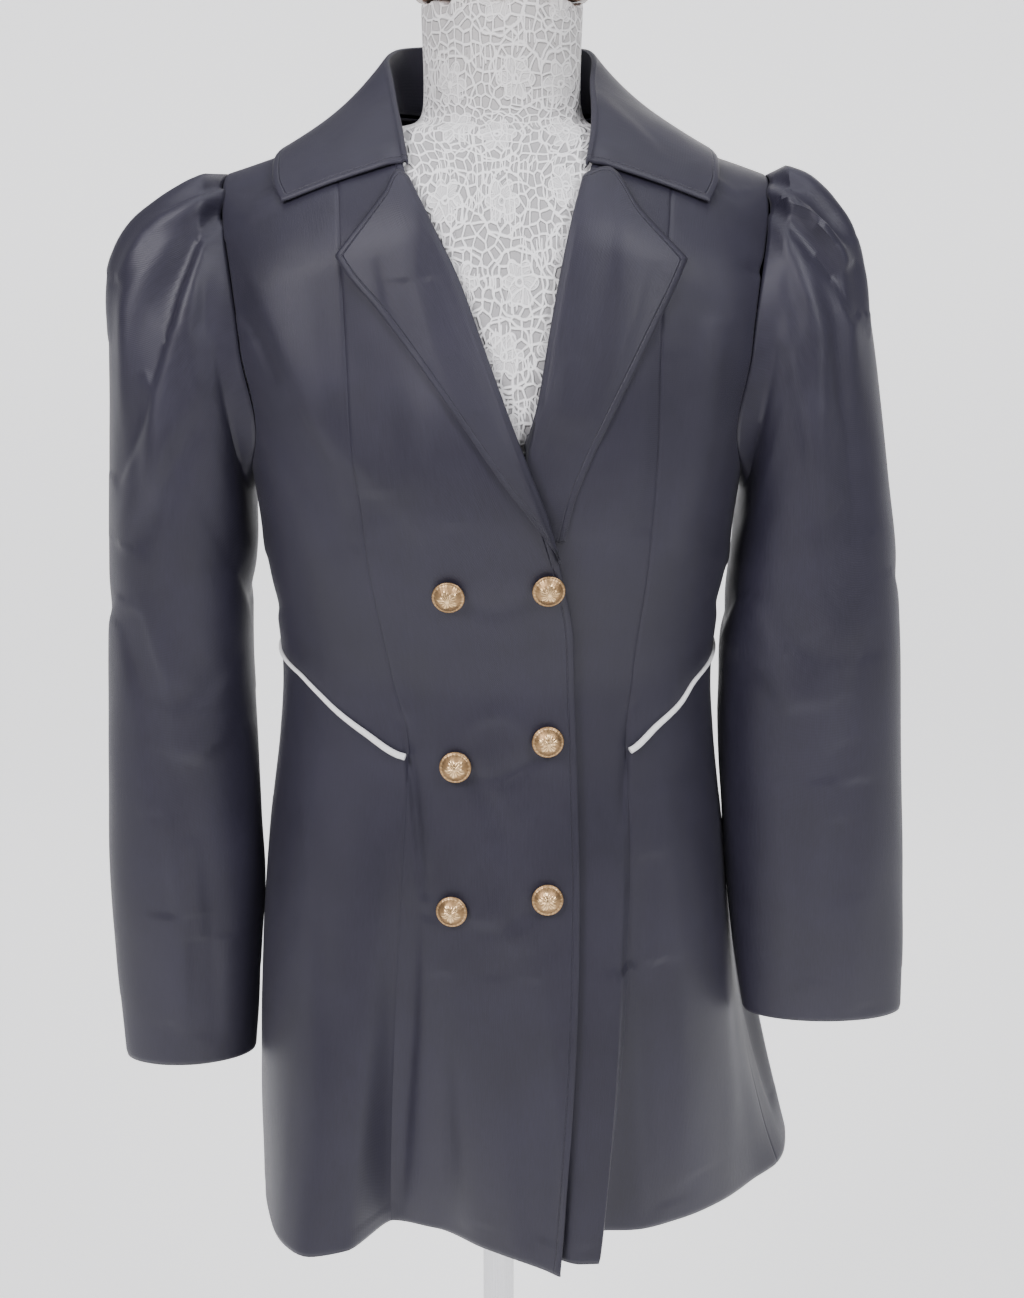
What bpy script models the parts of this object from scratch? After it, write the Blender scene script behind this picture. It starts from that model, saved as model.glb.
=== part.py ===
"""Longline double-breasted jacket with puff sleeves, worn by a limbless dress form.

Frame: metres, +Z up, the front faces -Y, +X is the wearer's left.
The origin is the centre of the base's underside, on the floor.
Angles run round the body from centre front, in degrees, positive to the wearer's left.
"""
import math
from collections import namedtuple

import bmesh
import bpy
from mathutils import Vector

# Cloth
WALL = 0.0016            # thickness of cloth with its lining side
SEAM = 0.0002            # each piece stops this far short of its seam
ROUND_ROWS = 4           # rows over the round of the shoulder
RINGS_PER_BODICE = 11    # rows from shoulder to waist seam
RINGS_PER_SKIRT = 9      # rows from waist seam to hem
ARMHOLE_ROWS = (5.5, 6.5, 7.5)   # further rows where the armhole turns
STEP = 0.002             # step used to measure slopes, as a share of a piece

# Shoulder
NECK_X = 0.070           # side neck point, out from centre
NECK_HEIGHT = 1.396
SHOULDER_X = 0.192       # end of the shoulder seam
SHOULDER_HEIGHT = 1.3565
SHOULDER_Y = 0.015       # the shoulder seam runs this far behind centre
SHOULDER_ROUND = 0.090   # height over which the shoulder rounds off
NAPE_HEIGHT = 1.395
CREST_ROUND = 0.012      # rounds the shoulder line off behind the neck
SHOULDER_RUN = math.hypot(SHOULDER_X, CREST_ROUND) - math.hypot(NECK_X, CREST_ROUND)
SHOULDER_FALL = (NECK_HEIGHT - SHOULDER_HEIGHT) / SHOULDER_RUN
UNDERARM_HEIGHT = 1.142
ARMHOLE_TURN_FRONT = 62.0   # the armhole's angle at its narrowest, in front and behind
ARMHOLE_TURN_BACK = 66.0
ARMHOLE_BEND = 0.070        # height over which the armhole turns under the arm
ARMHOLE_GAP = 0.0009        # a sleeve starts this far out from the armhole
SQUARENESS = 2.3         # 2 is an ellipse

# Overlap of the fronts
LAP_RISE = 0.0062        # the over front stands this far out where it laps
LAP_FROM = -19.0         # angles between which it rises
LAP_FULL = -11.0
LAP_TOP = 1.260          # height where it starts to rise
LAP_EDGE = 17.0          # angle of the over front's edge below the waist
UNDER_EDGE = -9.0        # angle of the under front's hidden edge

# Dress form
FORM_CLEARANCE = 0.0022
FORM_BOTTOM = 0.775
FORM_ARM_X = 0.184
NECK_CENTRE_X = 0.004
CAP_HEIGHT = 1.472
POLE_RADIUS = 0.0125
BASE_RADIUS = 0.160
BASE_THICKNESS = 0.016

# Neck of the form, from the shoulders up to its cap
Neck = namedtuple("Neck", "height half_width half_depth y")
FORM_NECK = [
    Neck(1.3895, 0.0620, 0.0550, 0.008), Neck(1.3960, 0.0560, 0.0500, 0.009),
    Neck(1.4120, 0.0550, 0.0500, 0.010), Neck(1.4400, 0.0555, 0.0525, 0.010),
    Neck(CAP_HEIGHT, 0.0570, 0.0570, 0.010),
]

Ring = namedtuple("Ring", "height half_width front back")
RINGS = [
    Ring(0.560, 0.190, 0.134, 0.138),
    Ring(0.700, 0.184, 0.128, 0.130),
    Ring(0.800, 0.178, 0.120, 0.120),
    Ring(0.880, 0.171, 0.113, 0.107),
    Ring(0.950, 0.163, 0.106, 0.092),
    Ring(1.000, 0.160, 0.105, 0.086),
    Ring(1.040, 0.163, 0.110, 0.090),
    Ring(1.100, 0.171, 0.122, 0.100),
    Ring(1.140, 0.176, 0.129, 0.106),
    Ring(1.170, 0.181, 0.131, 0.110),
    Ring(1.200, 0.188, 0.130, 0.112),
    Ring(1.240, 0.197, 0.125, 0.113),
    Ring(1.300, 0.201, 0.114, 0.112),
    Ring(1.360, 0.205, 0.100, 0.106),
    Ring(1.450, 0.205, 0.098, 0.104),
]

# Where the hem hangs, round from centre back, and how late its folds take over from the hips
Hem = namedtuple("Hem", "angle x y height late")
HEM = [
    Hem(-191, 0.042, 0.166, 0.583, 1.7),
    Hem(-180, 0.000, 0.150, 0.585, 1.7),
    Hem(-168, -0.036, 0.165, 0.583, 1.7),
    Hem(-158, -0.072, 0.148, 0.586, 1.7),
    Hem(-146, -0.110, 0.153, 0.583, 1.7),
    Hem(-133, -0.143, 0.114, 0.586, 1.7),
    Hem(-118, -0.173, 0.098, 0.585, 1.7),
    Hem(-104, -0.188, 0.050, 0.585, 1.7),
    Hem(-90, -0.188, 0.000, 0.587, 1.7),
    Hem(-72, -0.182, -0.052, 0.585, 1.7),
    Hem(-56, -0.171, -0.102, 0.582, 1.7),
    Hem(-44, -0.158, -0.130, 0.580, 1.7),
    Hem(-34, -0.138, -0.145, 0.580, 1.7),
    Hem(-26, -0.110, -0.136, 0.582, 1.7),
    Hem(-19, -0.078, -0.094, 0.587, 1.7),
    Hem(-12, -0.049, -0.094, 0.586, 1.7),
    Hem(0, -0.008, -0.117, 0.583, 1.7),
    Hem(12, 0.036, -0.140, 0.578, 1.7),
    Hem(22, 0.060, -0.153, 0.574, 1.7),
    Hem(29, 0.073, -0.153, 0.572, 1.7),
    Hem(32, 0.077, -0.108, 0.586, 1.7),
    Hem(42, 0.104, -0.104, 0.586, 1.7),
    Hem(54, 0.142, -0.085, 0.585, 1.7),
    Hem(66, 0.178, -0.055, 0.582, 2.8),
    Hem(78, 0.205, -0.022, 0.580, 4.2),
    Hem(90, 0.227, 0.006, 0.578, 4.2),
    Hem(98, 0.238, 0.030, 0.575, 3.6),
    Hem(107, 0.242, 0.062, 0.575, 1.9),
    Hem(119, 0.198, 0.112, 0.582, 1.7),
    Hem(132, 0.153, 0.122, 0.586, 1.7),
    Hem(146, 0.121, 0.157, 0.583, 1.7),
    Hem(159, 0.076, 0.148, 0.586, 1.7),
    Hem(169, 0.042, 0.166, 0.583, 1.7),
    Hem(180, 0.000, 0.150, 0.585, 1.7),
    Hem(192, -0.036, 0.165, 0.583, 1.7),
]

# Height of the curved waist seam round the body
Waist = namedtuple("Waist", "angle height")
WAIST = [
    Waist(-180, 1.034), Waist(-150, 1.032), Waist(-120, 1.026), Waist(-90, 1.018), Waist(-75, 1.014),
    Waist(-61, 1.008), Waist(-51, 0.998), Waist(-41, 0.985), Waist(-32, 0.9735), Waist(-20, 0.9584),
    Waist(0, 0.955), Waist(20, 0.955), Waist(32, 0.960), Waist(42, 0.9755), Waist(53, 0.989),
    Waist(61, 1.002), Waist(75, 1.011), Waist(90, 1.018), Waist(120, 1.026), Waist(150, 1.032),
    Waist(180, 1.034),
]

# Seams and edges on the front and back, by height
Line = namedtuple("Line", "height x")
FRONT_PRINCESS_RIGHT = [
    Line(0.957, -0.0630), Line(1.020, -0.0740), Line(1.100, -0.0880), Line(1.180, -0.0955),
    Line(1.250, -0.0999), Line(1.330, -0.1041), Line(1.385, -0.1100),
]
FRONT_PRINCESS_LEFT = [
    Line(0.957, 0.0935), Line(1.020, 0.0970), Line(1.100, 0.1060), Line(1.180, 0.1104),
    Line(1.270, 0.1110), Line(1.330, 0.1170), Line(1.385, 0.1220),
]
BACK_PRINCESS = [
    Line(1.032, 0.0750), Line(1.100, 0.0850), Line(1.200, 0.0980), Line(1.300, 0.1050),
    Line(1.385, 0.1160),
]
OVER_EDGE = [
    Line(0.957, 0.0544), Line(1.047, 0.0524), Line(1.095, 0.0438), Line(1.110, 0.0400),
    Line(1.155, 0.0256), Line(1.204, 0.0060), Line(1.258, -0.0141), Line(1.306, -0.0328),
    Line(1.340, -0.0522), Line(1.366, -0.0626), Line(1.396, -0.0700),
]
UNDER_EDGE_LINE = [
    Line(0.957, -0.0300), Line(1.060, -0.0240), Line(1.100, -0.0100), Line(1.140, 0.0080),
    Line(1.172, 0.0215), Line(1.200, 0.0289), Line(1.244, 0.0360), Line(1.280, 0.0427),
    Line(1.318, 0.0507), Line(1.348, 0.0585), Line(1.369, 0.0660), Line(1.396, 0.0700),
]

Sleeve = namedtuple("Sleeve", "outer_x outer_height inner_x inner_height depth y")
SLEEVE_RIGHT = [
    Sleeve(0.2060, 1.3570, 0.1790, 1.130, 0.0670, 0.002),
    Sleeve(0.2190, 1.3500, 0.1785, 1.112, 0.0700, 0.002),
    Sleeve(0.2400, 1.3370, 0.1780, 1.095, 0.0710, 0.001),
    Sleeve(0.2600, 1.3190, 0.1790, 1.078, 0.0710, 0.000),
    Sleeve(0.2720, 1.2930, 0.1815, 1.058, 0.0710, 0.000),
    Sleeve(0.2765, 1.2530, 0.1830, 1.034, 0.0690, 0.000),
    Sleeve(0.2795, 1.2020, 0.1835, 1.004, 0.0650, 0.000),
    Sleeve(0.2838, 1.1420, 0.1835, 0.968, 0.0610, 0.000),
    Sleeve(0.2870, 1.0760, 0.1830, 0.930, 0.0570, -0.002),
    Sleeve(0.2905, 1.0000, 0.1820, 0.886, 0.0530, -0.006),
    Sleeve(0.2935, 0.9180, 0.1800, 0.838, 0.0480, -0.012),
    Sleeve(0.2955, 0.8440, 0.1825, 0.790, 0.0420, -0.017),
    Sleeve(0.2935, 0.7700, 0.1850, 0.740, 0.0350, -0.021),
    Sleeve(0.2895, 0.6930, 0.1885, 0.697, 0.0290, -0.024),
]
SLEEVE_LEFT = [
    Sleeve(0.2040, 1.3630, 0.1790, 1.130, 0.0670, 0.002),
    Sleeve(0.2190, 1.3560, 0.1780, 1.112, 0.0700, 0.002),
    Sleeve(0.2340, 1.3430, 0.1755, 1.095, 0.0710, 0.001),
    Sleeve(0.2480, 1.3250, 0.1735, 1.078, 0.0710, 0.000),
    Sleeve(0.2585, 1.2960, 0.1705, 1.058, 0.0710, -0.001),
    Sleeve(0.2665, 1.2590, 0.1680, 1.034, 0.0690, -0.003),
    Sleeve(0.2750, 1.2060, 0.1660, 1.004, 0.0650, -0.006),
    Sleeve(0.2835, 1.1480, 0.1660, 0.968, 0.0610, -0.010),
    Sleeve(0.2930, 1.0800, 0.1675, 0.932, 0.0570, -0.015),
    Sleeve(0.2985, 1.0050, 0.1705, 0.892, 0.0530, -0.020),
    Sleeve(0.3020, 0.9260, 0.1735, 0.848, 0.0480, -0.025),
    Sleeve(0.3060, 0.8500, 0.1775, 0.806, 0.0420, -0.029),
    Sleeve(0.3095, 0.7850, 0.1830, 0.768, 0.0350, -0.032),
    Sleeve(0.3105, 0.7360, 0.1885, 0.735, 0.0280, -0.034),
]
SLEEVE_SIDES = 32
SLEEVE_CROWD = 0.35      # crowds the columns towards the top of the head

# Pleats and folds of a sleeve: angle round the sleeve from its top, forwards
Pleat = namedtuple("Pleat", "turn drift width height first peak last")
PLEATS = [
    Pleat(14, 1.0, 9, 0.0080, 0, 2, 6),
    Pleat(36, 2.0, 10, 0.0110, 0, 3, 8),
    Pleat(60, 3.5, 11, 0.0090, 0, 3, 9),
    Pleat(-16, -1.0, 9, 0.0070, 0, 2, 6),
    Pleat(-38, -2.0, 10, 0.0100, 0, 3, 8),
    Pleat(-62, -3.0, 11, 0.0080, 0, 2, 7),
    Pleat(48, 3.0, 9, -0.0060, 1, 4, 9),
    Pleat(-50, -3.0, 9, -0.0055, 1, 4, 9),
    Pleat(100, -5.0, 22, 0.0050, 5, 8, 12),
    Pleat(-80, 4.0, 24, 0.0050, 5, 9, 13),
]

# Collar columns from centre back (0) to the front end (8), for the wearer's left half.
# Turn is measured over the shoulder from its line: to the front it is positive.
Collar = namedtuple("Collar", "at neck_x neck_y neck_z roll_x roll_y roll_z lean edge_x edge_turn")
COLLAR = [
    Collar(0, 0.0000, 0.0705, 1.3965, 0.0000, 0.0880, 1.4490, 0.0000, 0.0000, -66.0),
    Collar(1, 0.0220, 0.0640, 1.3965, 0.0250, 0.0835, 1.4490, 0.0000, 0.0330, -64.0),
    Collar(2, 0.0420, 0.0535, 1.3970, 0.0490, 0.0710, 1.4465, -0.0015, 0.0700, -56.0),
    Collar(3, 0.0580, 0.0400, 1.3975, 0.0680, 0.0480, 1.4430, -0.0030, 0.1060, -42.0),
    Collar(4, 0.0655, 0.0290, 1.3980, 0.0737, 0.0220, 1.4350, -0.0040, 0.1350, -22.0),
    Collar(5, 0.0690, 0.0080, 1.3975, 0.0707, -0.0060, 1.4205, -0.0030, 0.1490, 0.0),
    Collar(6, 0.0680, -0.0250, 1.3900, 0.0690, -0.0300, 1.4050, -0.0010, 0.1530, 20.0),
    Collar(7, 0.0640, -0.0510, 1.3790, 0.0660, -0.0520, 1.3870, 0.0008, 0.1510, 38.0),
    Collar(8, 0.0600, -0.0710, 1.3640, 0.0615, -0.0750, 1.3660, 0.0010, 0.1430, 53.0),
]
COLLAR_COLUMNS = 13                     # columns on each side of centre back
COLLAR_ROLL = 0.0030                    # radius of the collar's roll
COLLAR_CROWN = 0.0005                   # the fall bulges this much
COLLAR_LIFT = 0.0045                    # the fall's edge lies this far off the cloth below
COLLAR_CLEAR = 0.0034                   # the least distance of its face from that cloth
COLLAR_FALL = (0.1, 0.25, 0.42, 0.6, 0.78, 0.91, 1.0)

# Lapels, from the gorge (0) down to the break (1): roll edge and outer edge
Lapel = namedtuple("Lapel", "down roll_x roll_z outer_x outer_z")
LAPEL_RIGHT = [
    Lapel(0.00, -0.0575, 1.3560, -0.1048, 1.3038),
    Lapel(0.12, -0.0420, 1.3270, -0.0960, 1.2910),
    Lapel(0.28, -0.0245, 1.2925, -0.0770, 1.2700),
    Lapel(0.45, -0.0080, 1.2490, -0.0546, 1.2416),
    Lapel(0.62, 0.0070, 1.2080, -0.0313, 1.2105),
    Lapel(0.80, 0.0215, 1.1700, -0.0010, 1.1670),
    Lapel(0.92, 0.0335, 1.1390, 0.0210, 1.1370),
    Lapel(1.00, 0.0430, 1.1050, 0.0395, 1.1125),
]
LAPEL_LEFT = [
    Lapel(0.00, 0.0575, 1.3560, 0.1265, 1.3018),
    Lapel(0.12, 0.0500, 1.3290, 0.1165, 1.2800),
    Lapel(0.28, 0.0425, 1.2950, 0.1050, 1.2575),
    Lapel(0.45, 0.0350, 1.2550, 0.0900, 1.2275),
    Lapel(0.62, 0.0280, 1.2130, 0.0741, 1.1957),
    Lapel(0.80, 0.0195, 1.1740, 0.0620, 1.1690),
    Lapel(0.92, 0.0240, 1.1450, 0.0527, 1.1450),
    Lapel(1.00, 0.0350, 1.1180, 0.0463, 1.1170),
]
# The gorge edge of a lapel bends up near the roll: share across and rise
GORGE_RIGHT = (0.17, 0.0085)
GORGE_LEFT = (0.30, 0.0165)
# Section of a lapel at its roll: distance from the roll edge, and height off the front
Roll = namedtuple("Roll", "run out")
LAPEL_ROLL = [Roll(0.0, 0.0020), Roll(0.0035, 0.0042)]
LAPEL_REST = [
    Roll(0.10, 0.0056), Roll(0.24, 0.0058), Roll(0.42, 0.0052), Roll(0.61, 0.0039), Roll(0.81, 0.0025),
    Roll(1.00, 0.0012),
]
LAPEL_UNDER = 0.0024     # the under lapel lies this flat where the over front covers it
LAPEL_ROWS = 14

PIPING_RADIUS = 0.0015
PIPING_FRONT_RADIUS = 0.0023

Button = namedtuple("Button", "x height")
BUTTONS = [
    Button(0.0350, 1.0860), Button(0.0351, 0.9730), Button(0.0366, 0.8590),
    Button(-0.0314, 1.0816), Button(-0.0280, 0.9548), Button(-0.0301, 0.8497),
]
# Turned profile of a button, from its back to its crown
Turn = namedtuple("Turn", "radius rise")
BUTTON_PROFILE = [
    Turn(0.0, 0.0004), Turn(0.0035, 0.0004), Turn(0.0035, 0.0022), Turn(0.0100, 0.0026),
    Turn(0.0112, 0.0038), Turn(0.0106, 0.0056), Turn(0.0080, 0.0080), Turn(0.0042, 0.0094),
    Turn(0.0, 0.0098),
]


def smooth(rows, key, column, at):
    """Read a column of a table at a key, on a curve that never overshoots its rows."""
    keys = [getattr(row, key) for row in rows]
    values = [getattr(row, column) for row in rows]
    if keys[0] > keys[-1]:
        keys.reverse()
        values.reverse()
    at = min(max(at, keys[0]), keys[-1])
    last = len(keys) - 1
    slot = 0
    while slot < last - 1 and at > keys[slot + 1]:
        slot += 1

    def slope(i):
        return (values[i + 1] - values[i]) / (keys[i + 1] - keys[i])

    def tangent(i):
        if i == 0:
            return slope(0)
        if i == last:
            return slope(last - 1)
        before = slope(i - 1)
        after = slope(i)
        if before * after <= 0.0:
            return 0.0
        return 2.0 * before * after / (before + after)

    span = keys[slot + 1] - keys[slot]
    t = (at - keys[slot]) / span
    start = (1 + 2 * t) * (1 - t) ** 2 * values[slot] + t * (1 - t) ** 2 * span * tangent(slot)
    end = t * t * (3 - 2 * t) * values[slot + 1] + t * t * (t - 1) * span * tangent(slot + 1)
    return start + end


def ease(start, end, value):
    """0 at start, 1 at end, and a soft step between them; start may be the larger."""
    t = min(max((value - start) / (end - start), 0.0), 1.0)
    return t * t * (3 - 2 * t)


def mix(a, b, share):
    return a + (b - a) * share


def crest(x):
    """Height of the shoulder line at a distance from centre."""
    return NECK_HEIGHT - (math.hypot(x, CREST_ROUND) - math.hypot(NECK_X, CREST_ROUND)) * SHOULDER_FALL


def crest_x(height):
    """Distance from centre at which the shoulder line has a height."""
    run = math.hypot(NECK_X, CREST_ROUND) + (NECK_HEIGHT - height) / SHOULDER_FALL
    return math.sqrt(max(run * run - CREST_ROUND ** 2, 0.0))


def angle_at(x, height, behind=False):
    """Angle at which the body's ring has a given x."""
    half_width = smooth(RINGS, "height", "half_width", height)
    share = min(abs(x) / half_width, 1.0) ** (SQUARENESS / 2)
    turn = math.degrees(math.asin(share))
    if behind:
        turn = 180.0 - turn
    return math.copysign(turn, x)


def waist_height(angle):
    return smooth(WAIST, "angle", "height", angle)


def ring_point(angle, height, inset=0.0):
    """Point of the plain body ring, rounded off towards the shoulder line."""
    half_width = smooth(RINGS, "height", "half_width", height) - inset
    sine = math.sin(math.radians(angle))
    cosine = math.cos(math.radians(angle))
    x = half_width * math.copysign(abs(sine) ** (2 / SQUARENESS), sine)
    side = "front" if cosine > 0 else "back"
    depth = smooth(RINGS, "height", side, height) - inset
    y = -depth * math.copysign(abs(cosine) ** (2 / SQUARENESS), cosine)
    share = min(max((crest(x) - inset - height) / SHOULDER_ROUND, 0.0), 1.0)
    y = SHOULDER_Y + (y - SHOULDER_Y) * math.sqrt(1 - (1 - share) ** 2)
    return Vector((x, y, height))


def body_point(angle, height):
    """Point of the jacket's outer face: the ring, drawn out to the hem's folds."""
    point = ring_point(angle, height)
    waist = waist_height(angle)
    if height < waist:
        hem = smooth(HEM, "angle", "height", angle)
        pull = ((waist - height) / (waist - hem)) ** smooth(HEM, "angle", "late", angle)
        point.x = mix(point.x, smooth(HEM, "angle", "x", angle), pull)
        point.y = mix(point.y, smooth(HEM, "angle", "y", angle), pull)
    return point


def body_normal(angle, height):
    """Outward direction of the jacket's face, away from the shoulder line."""
    across = body_point(angle + 0.3, height) - body_point(angle - 0.3, height)
    up = body_point(angle, height + 0.001) - body_point(angle, height - 0.001)
    return across.cross(up).normalized()


def row_height(row, top, waist, hem):
    """Height of a row: close together over the shoulder, then even to waist and hem."""
    if row <= ROUND_ROWS:
        turn = math.pi / 2 * row / ROUND_ROWS
        return top - SHOULDER_ROUND * (1 - math.cos(turn))
    if row <= RINGS_PER_BODICE:
        share = (row - ROUND_ROWS) / (RINGS_PER_BODICE - ROUND_ROWS)
        return mix(top - SHOULDER_ROUND, waist, share)
    return mix(waist, hem, (row - RINGS_PER_BODICE) / RINGS_PER_SKIRT)


def panel_rows(top, bottom):
    """Shares down a panel of its rows, closer where the armhole turns."""
    rows = list(range(top, bottom + 1))
    if top == 0:
        rows += ARMHOLE_ROWS
    return [(row - top) / (bottom - top) for row in sorted(rows)]


def top_line(x):
    """Height of a panel's top edge: the shoulder line, or the neckline between its ends."""
    if abs(x) >= NECK_X:
        return crest(x)
    return mix(NAPE_HEIGHT, NECK_HEIGHT, (x / NECK_X) ** 2)


def edge_angle(edge, row):
    """Angle and height of a seam or edge at a row, from the shoulder down."""
    waist = waist_height(edge.waist_angle)
    hem = smooth(HEM, "angle", "height", edge.waist_angle)
    height = row_height(row, top_line(edge.top_x), waist, hem)
    return edge.angle(height), height


class Edge:
    """A seam or edge from the shoulder line to the hem."""

    def __init__(self, top_x, waist_angle, angle):
        self.top_x = top_x
        self.waist_angle = waist_angle
        self.angle = angle


def line_edge(rows, mirror=False, behind=False, lower_angle=None):
    """Edge that follows a table of x by height, and keeps one angle below it."""
    sign = -1.0 if mirror else 1.0
    lowest = rows[0].height
    waist_angle = lower_angle
    if waist_angle is None:
        waist_angle = angle_at(sign * rows[0].x, lowest, behind)

    def angle(height):
        x = sign * smooth(rows, "height", "x", height)
        here = angle_at(x, max(height, lowest), behind)
        return mix(waist_angle, here, ease(lowest - 0.01, lowest + 0.06, height))

    return Edge(sign * rows[-1].x, waist_angle, angle)


def armhole_edge(sign, behind):
    """The armhole down to the underarm, then the side seam."""
    top_turn = abs(angle_at(SHOULDER_X, SHOULDER_HEIGHT))
    narrow_turn = ARMHOLE_TURN_BACK if behind else ARMHOLE_TURN_FRONT
    bend_height = UNDERARM_HEIGHT + ARMHOLE_BEND

    def angle(height):
        turn = mix(top_turn, narrow_turn, ease(SHOULDER_HEIGHT, SHOULDER_HEIGHT - 0.11, height))
        if height < bend_height:
            share = min((bend_height - height) / ARMHOLE_BEND, 1.0)
            turn = mix(turn, 90.0, share ** 3)
        if behind:
            turn = 180.0 - turn
        return sign * turn

    return Edge(sign * SHOULDER_X, sign * 90.0, angle)


def centre_back_edge(sign):
    return Edge(0.0, sign * 180.0, lambda height: sign * 180.0)


def panel_map(first, second, top_row, bottom_row, lap=None):
    """Map of a panel from (across, down) shares to a point."""

    def point(across, down):
        row = mix(top_row, bottom_row, down)
        angle_a, height_a = edge_angle(first, row)
        angle_b, height_b = edge_angle(second, row)
        angle = mix(angle_a, angle_b, across)
        height = mix(height_a, height_b, across)
        if row < ROUND_ROWS:
            start = mix(edge_angle(first, 0)[0], edge_angle(second, 0)[0], across)
            straight = mix(top_line(first.top_x), top_line(second.top_x), across)
            top = top_line(ring_point(start, straight).x)
            height += (top - straight) * (1 - ease(0, ROUND_ROWS, row))
        seam_a, seam_b = edge_angle(first, RINGS_PER_BODICE), edge_angle(second, RINGS_PER_BODICE)
        bend = waist_height(mix(seam_a[0], seam_b[0], across)) - mix(seam_a[1], seam_b[1], across)
        if row < RINGS_PER_BODICE:
            height += bend * ease(ROUND_ROWS, RINGS_PER_BODICE, row)
        else:
            height += bend * (1 - (row - RINGS_PER_BODICE) / RINGS_PER_SKIRT)
        place = body_point(angle, height)
        if lap is not None:
            place += body_normal(angle, min(height, 1.34)) * lap(angle, height)
        return place

    return point


def layers(place, rows, columns, wall, flip=False):
    """Outer and inner points of a wall whose outer face is a map of (across, down)."""
    outer = []
    inner = []
    for down in rows:
        outer_row = []
        inner_row = []
        for across in columns:
            a0 = max(across - STEP, 0.0)
            a1 = min(across + STEP, 1.0)
            d0 = max(down - STEP, 0.0)
            d1 = min(down + STEP, 1.0)
            side = place(a1, down) - place(a0, down)
            fall = place(across, d1) - place(across, d0)
            out = fall.cross(side).normalized()
            if flip:
                out = -out
            here = place(across, down)
            outer_row.append(here)
            inner_row.append(here - out * wall)
        outer.append(outer_row)
        inner.append(inner_row)
    return outer, inner


def shrink_edges(outer, inner, top, bottom, first, last):
    """Move the edges of a wall in by the seam gap."""
    def pull(points, edge, inside, amount):
        return (points[inside[0]][inside[1]] - points[edge[0]][edge[1]]).normalized() * amount

    rows = len(outer)
    columns = len(outer[0])
    moves = {}
    for r in range(rows):
        if first:
            moves.setdefault((r, 0), []).append(pull(outer, (r, 0), (r, 1), first))
        if last:
            moves.setdefault((r, columns - 1), []).append(
                pull(outer, (r, columns - 1), (r, columns - 2), last))
    for c in range(columns):
        if top:
            moves.setdefault((0, c), []).append(pull(outer, (0, c), (1, c), top))
        if bottom:
            moves.setdefault((rows - 1, c), []).append(
                pull(outer, (rows - 1, c), (rows - 2, c), bottom))
    for (r, c), shifts in moves.items():
        for shift in shifts:
            outer[r][c] = outer[r][c] + shift
            inner[r][c] = inner[r][c] + shift


def solid_from_layers(name, outer, inner, material, closed=False):
    """Join two layers of points into one closed wall."""
    bm = bmesh.new()
    rows = len(outer)
    columns = len(outer[0])
    skins = []
    for layer in (outer, inner):
        skins.append([[bm.verts.new(point) for point in row] for row in layer])
    top, under = skins
    spans = columns if closed else columns - 1
    for r in range(rows - 1):
        for c in range(spans):
            d = (c + 1) % columns
            bm.faces.new((top[r][c], top[r + 1][c], top[r + 1][d], top[r][d]))
            bm.faces.new((under[r][c], under[r][d], under[r + 1][d], under[r + 1][c]))
    for r in (0, rows - 1):
        for c in range(spans):
            d = (c + 1) % columns
            bm.faces.new((top[r][c], top[r][d], under[r][d], under[r][c]))
    if not closed:
        for c in (0, columns - 1):
            for r in range(rows - 1):
                bm.faces.new((top[r][c], top[r + 1][c], under[r + 1][c], under[r][c]))
    return add_object(name, bm, material)


def add_object(name, bm, material, smooth_angle=40.0):
    """Finish a mesh and link it as an object with its own material."""
    bmesh.ops.recalc_face_normals(bm, faces=bm.faces)
    bmesh.ops.triangulate(bm, faces=bm.faces)
    if bm.calc_volume(signed=True) < 0:
        bmesh.ops.reverse_faces(bm, faces=bm.faces)
    mesh = bpy.data.meshes.new(name)
    bm.to_mesh(mesh)
    bm.free()
    mesh.shade_smooth()
    mesh.set_sharp_from_angle(angle=math.radians(smooth_angle))
    mesh.materials.append(material)
    item = bpy.data.objects.new(name, mesh)
    bpy.context.scene.collection.objects.link(item)
    return item


def make_material(name, colour, roughness, metallic=0.0):
    material = bpy.data.materials.new(name)
    material.use_nodes = True
    shader = material.node_tree.nodes["Principled BSDF"]
    shader.inputs["Base Color"].default_value = (*colour, 1.0)
    shader.inputs["Roughness"].default_value = roughness
    shader.inputs["Metallic"].default_value = metallic
    return material


def cloth(name):
    return make_material(name, (0.028, 0.028, 0.043), 0.45)


def even(count):
    return [i / count for i in range(count + 1)]


def lap_out(angle, height):
    """How far the over front stands out where it laps the under front."""
    return LAP_RISE * ease(LAP_FROM, LAP_FULL, angle) * ease(LAP_TOP, LAP_TOP - 0.09, height)


def build_fronts():
    """Both fronts, full length, from the lapel's roll and front edge to the princess seam."""
    bottom = RINGS_PER_BODICE + RINGS_PER_SKIRT
    rows = panel_rows(0, bottom)
    princess_right = line_edge([Line(row.height, row.x) for row in FRONT_PRINCESS_RIGHT])
    over = line_edge(OVER_EDGE, lower_angle=LAP_EDGE)
    place = panel_map(princess_right, over, 0, bottom, lap_out)
    columns = [0.0, 0.1, 0.2, 0.32, 0.5, 0.68, 0.85, 1.0]
    outer, inner = layers(place, rows, columns, WALL)
    shrink_edges(outer, inner, SEAM, 0, SEAM, 0)
    solid_from_layers("front_right", outer, inner, cloth("cloth_front_right"))

    under = line_edge(UNDER_EDGE_LINE, lower_angle=UNDER_EDGE)
    princess_left = line_edge(FRONT_PRINCESS_LEFT)
    place = panel_map(under, princess_left, 0, bottom)
    columns = [0.0, 0.16, 0.32, 0.48, 0.64, 0.78, 0.88, 0.935, 0.97, 1.0]
    outer, inner = layers(place, rows, columns, WALL)
    shrink_edges(outer, inner, SEAM, 0, 0, SEAM)
    solid_from_layers("front_left", outer, inner, cloth("cloth_front_left"))


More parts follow.
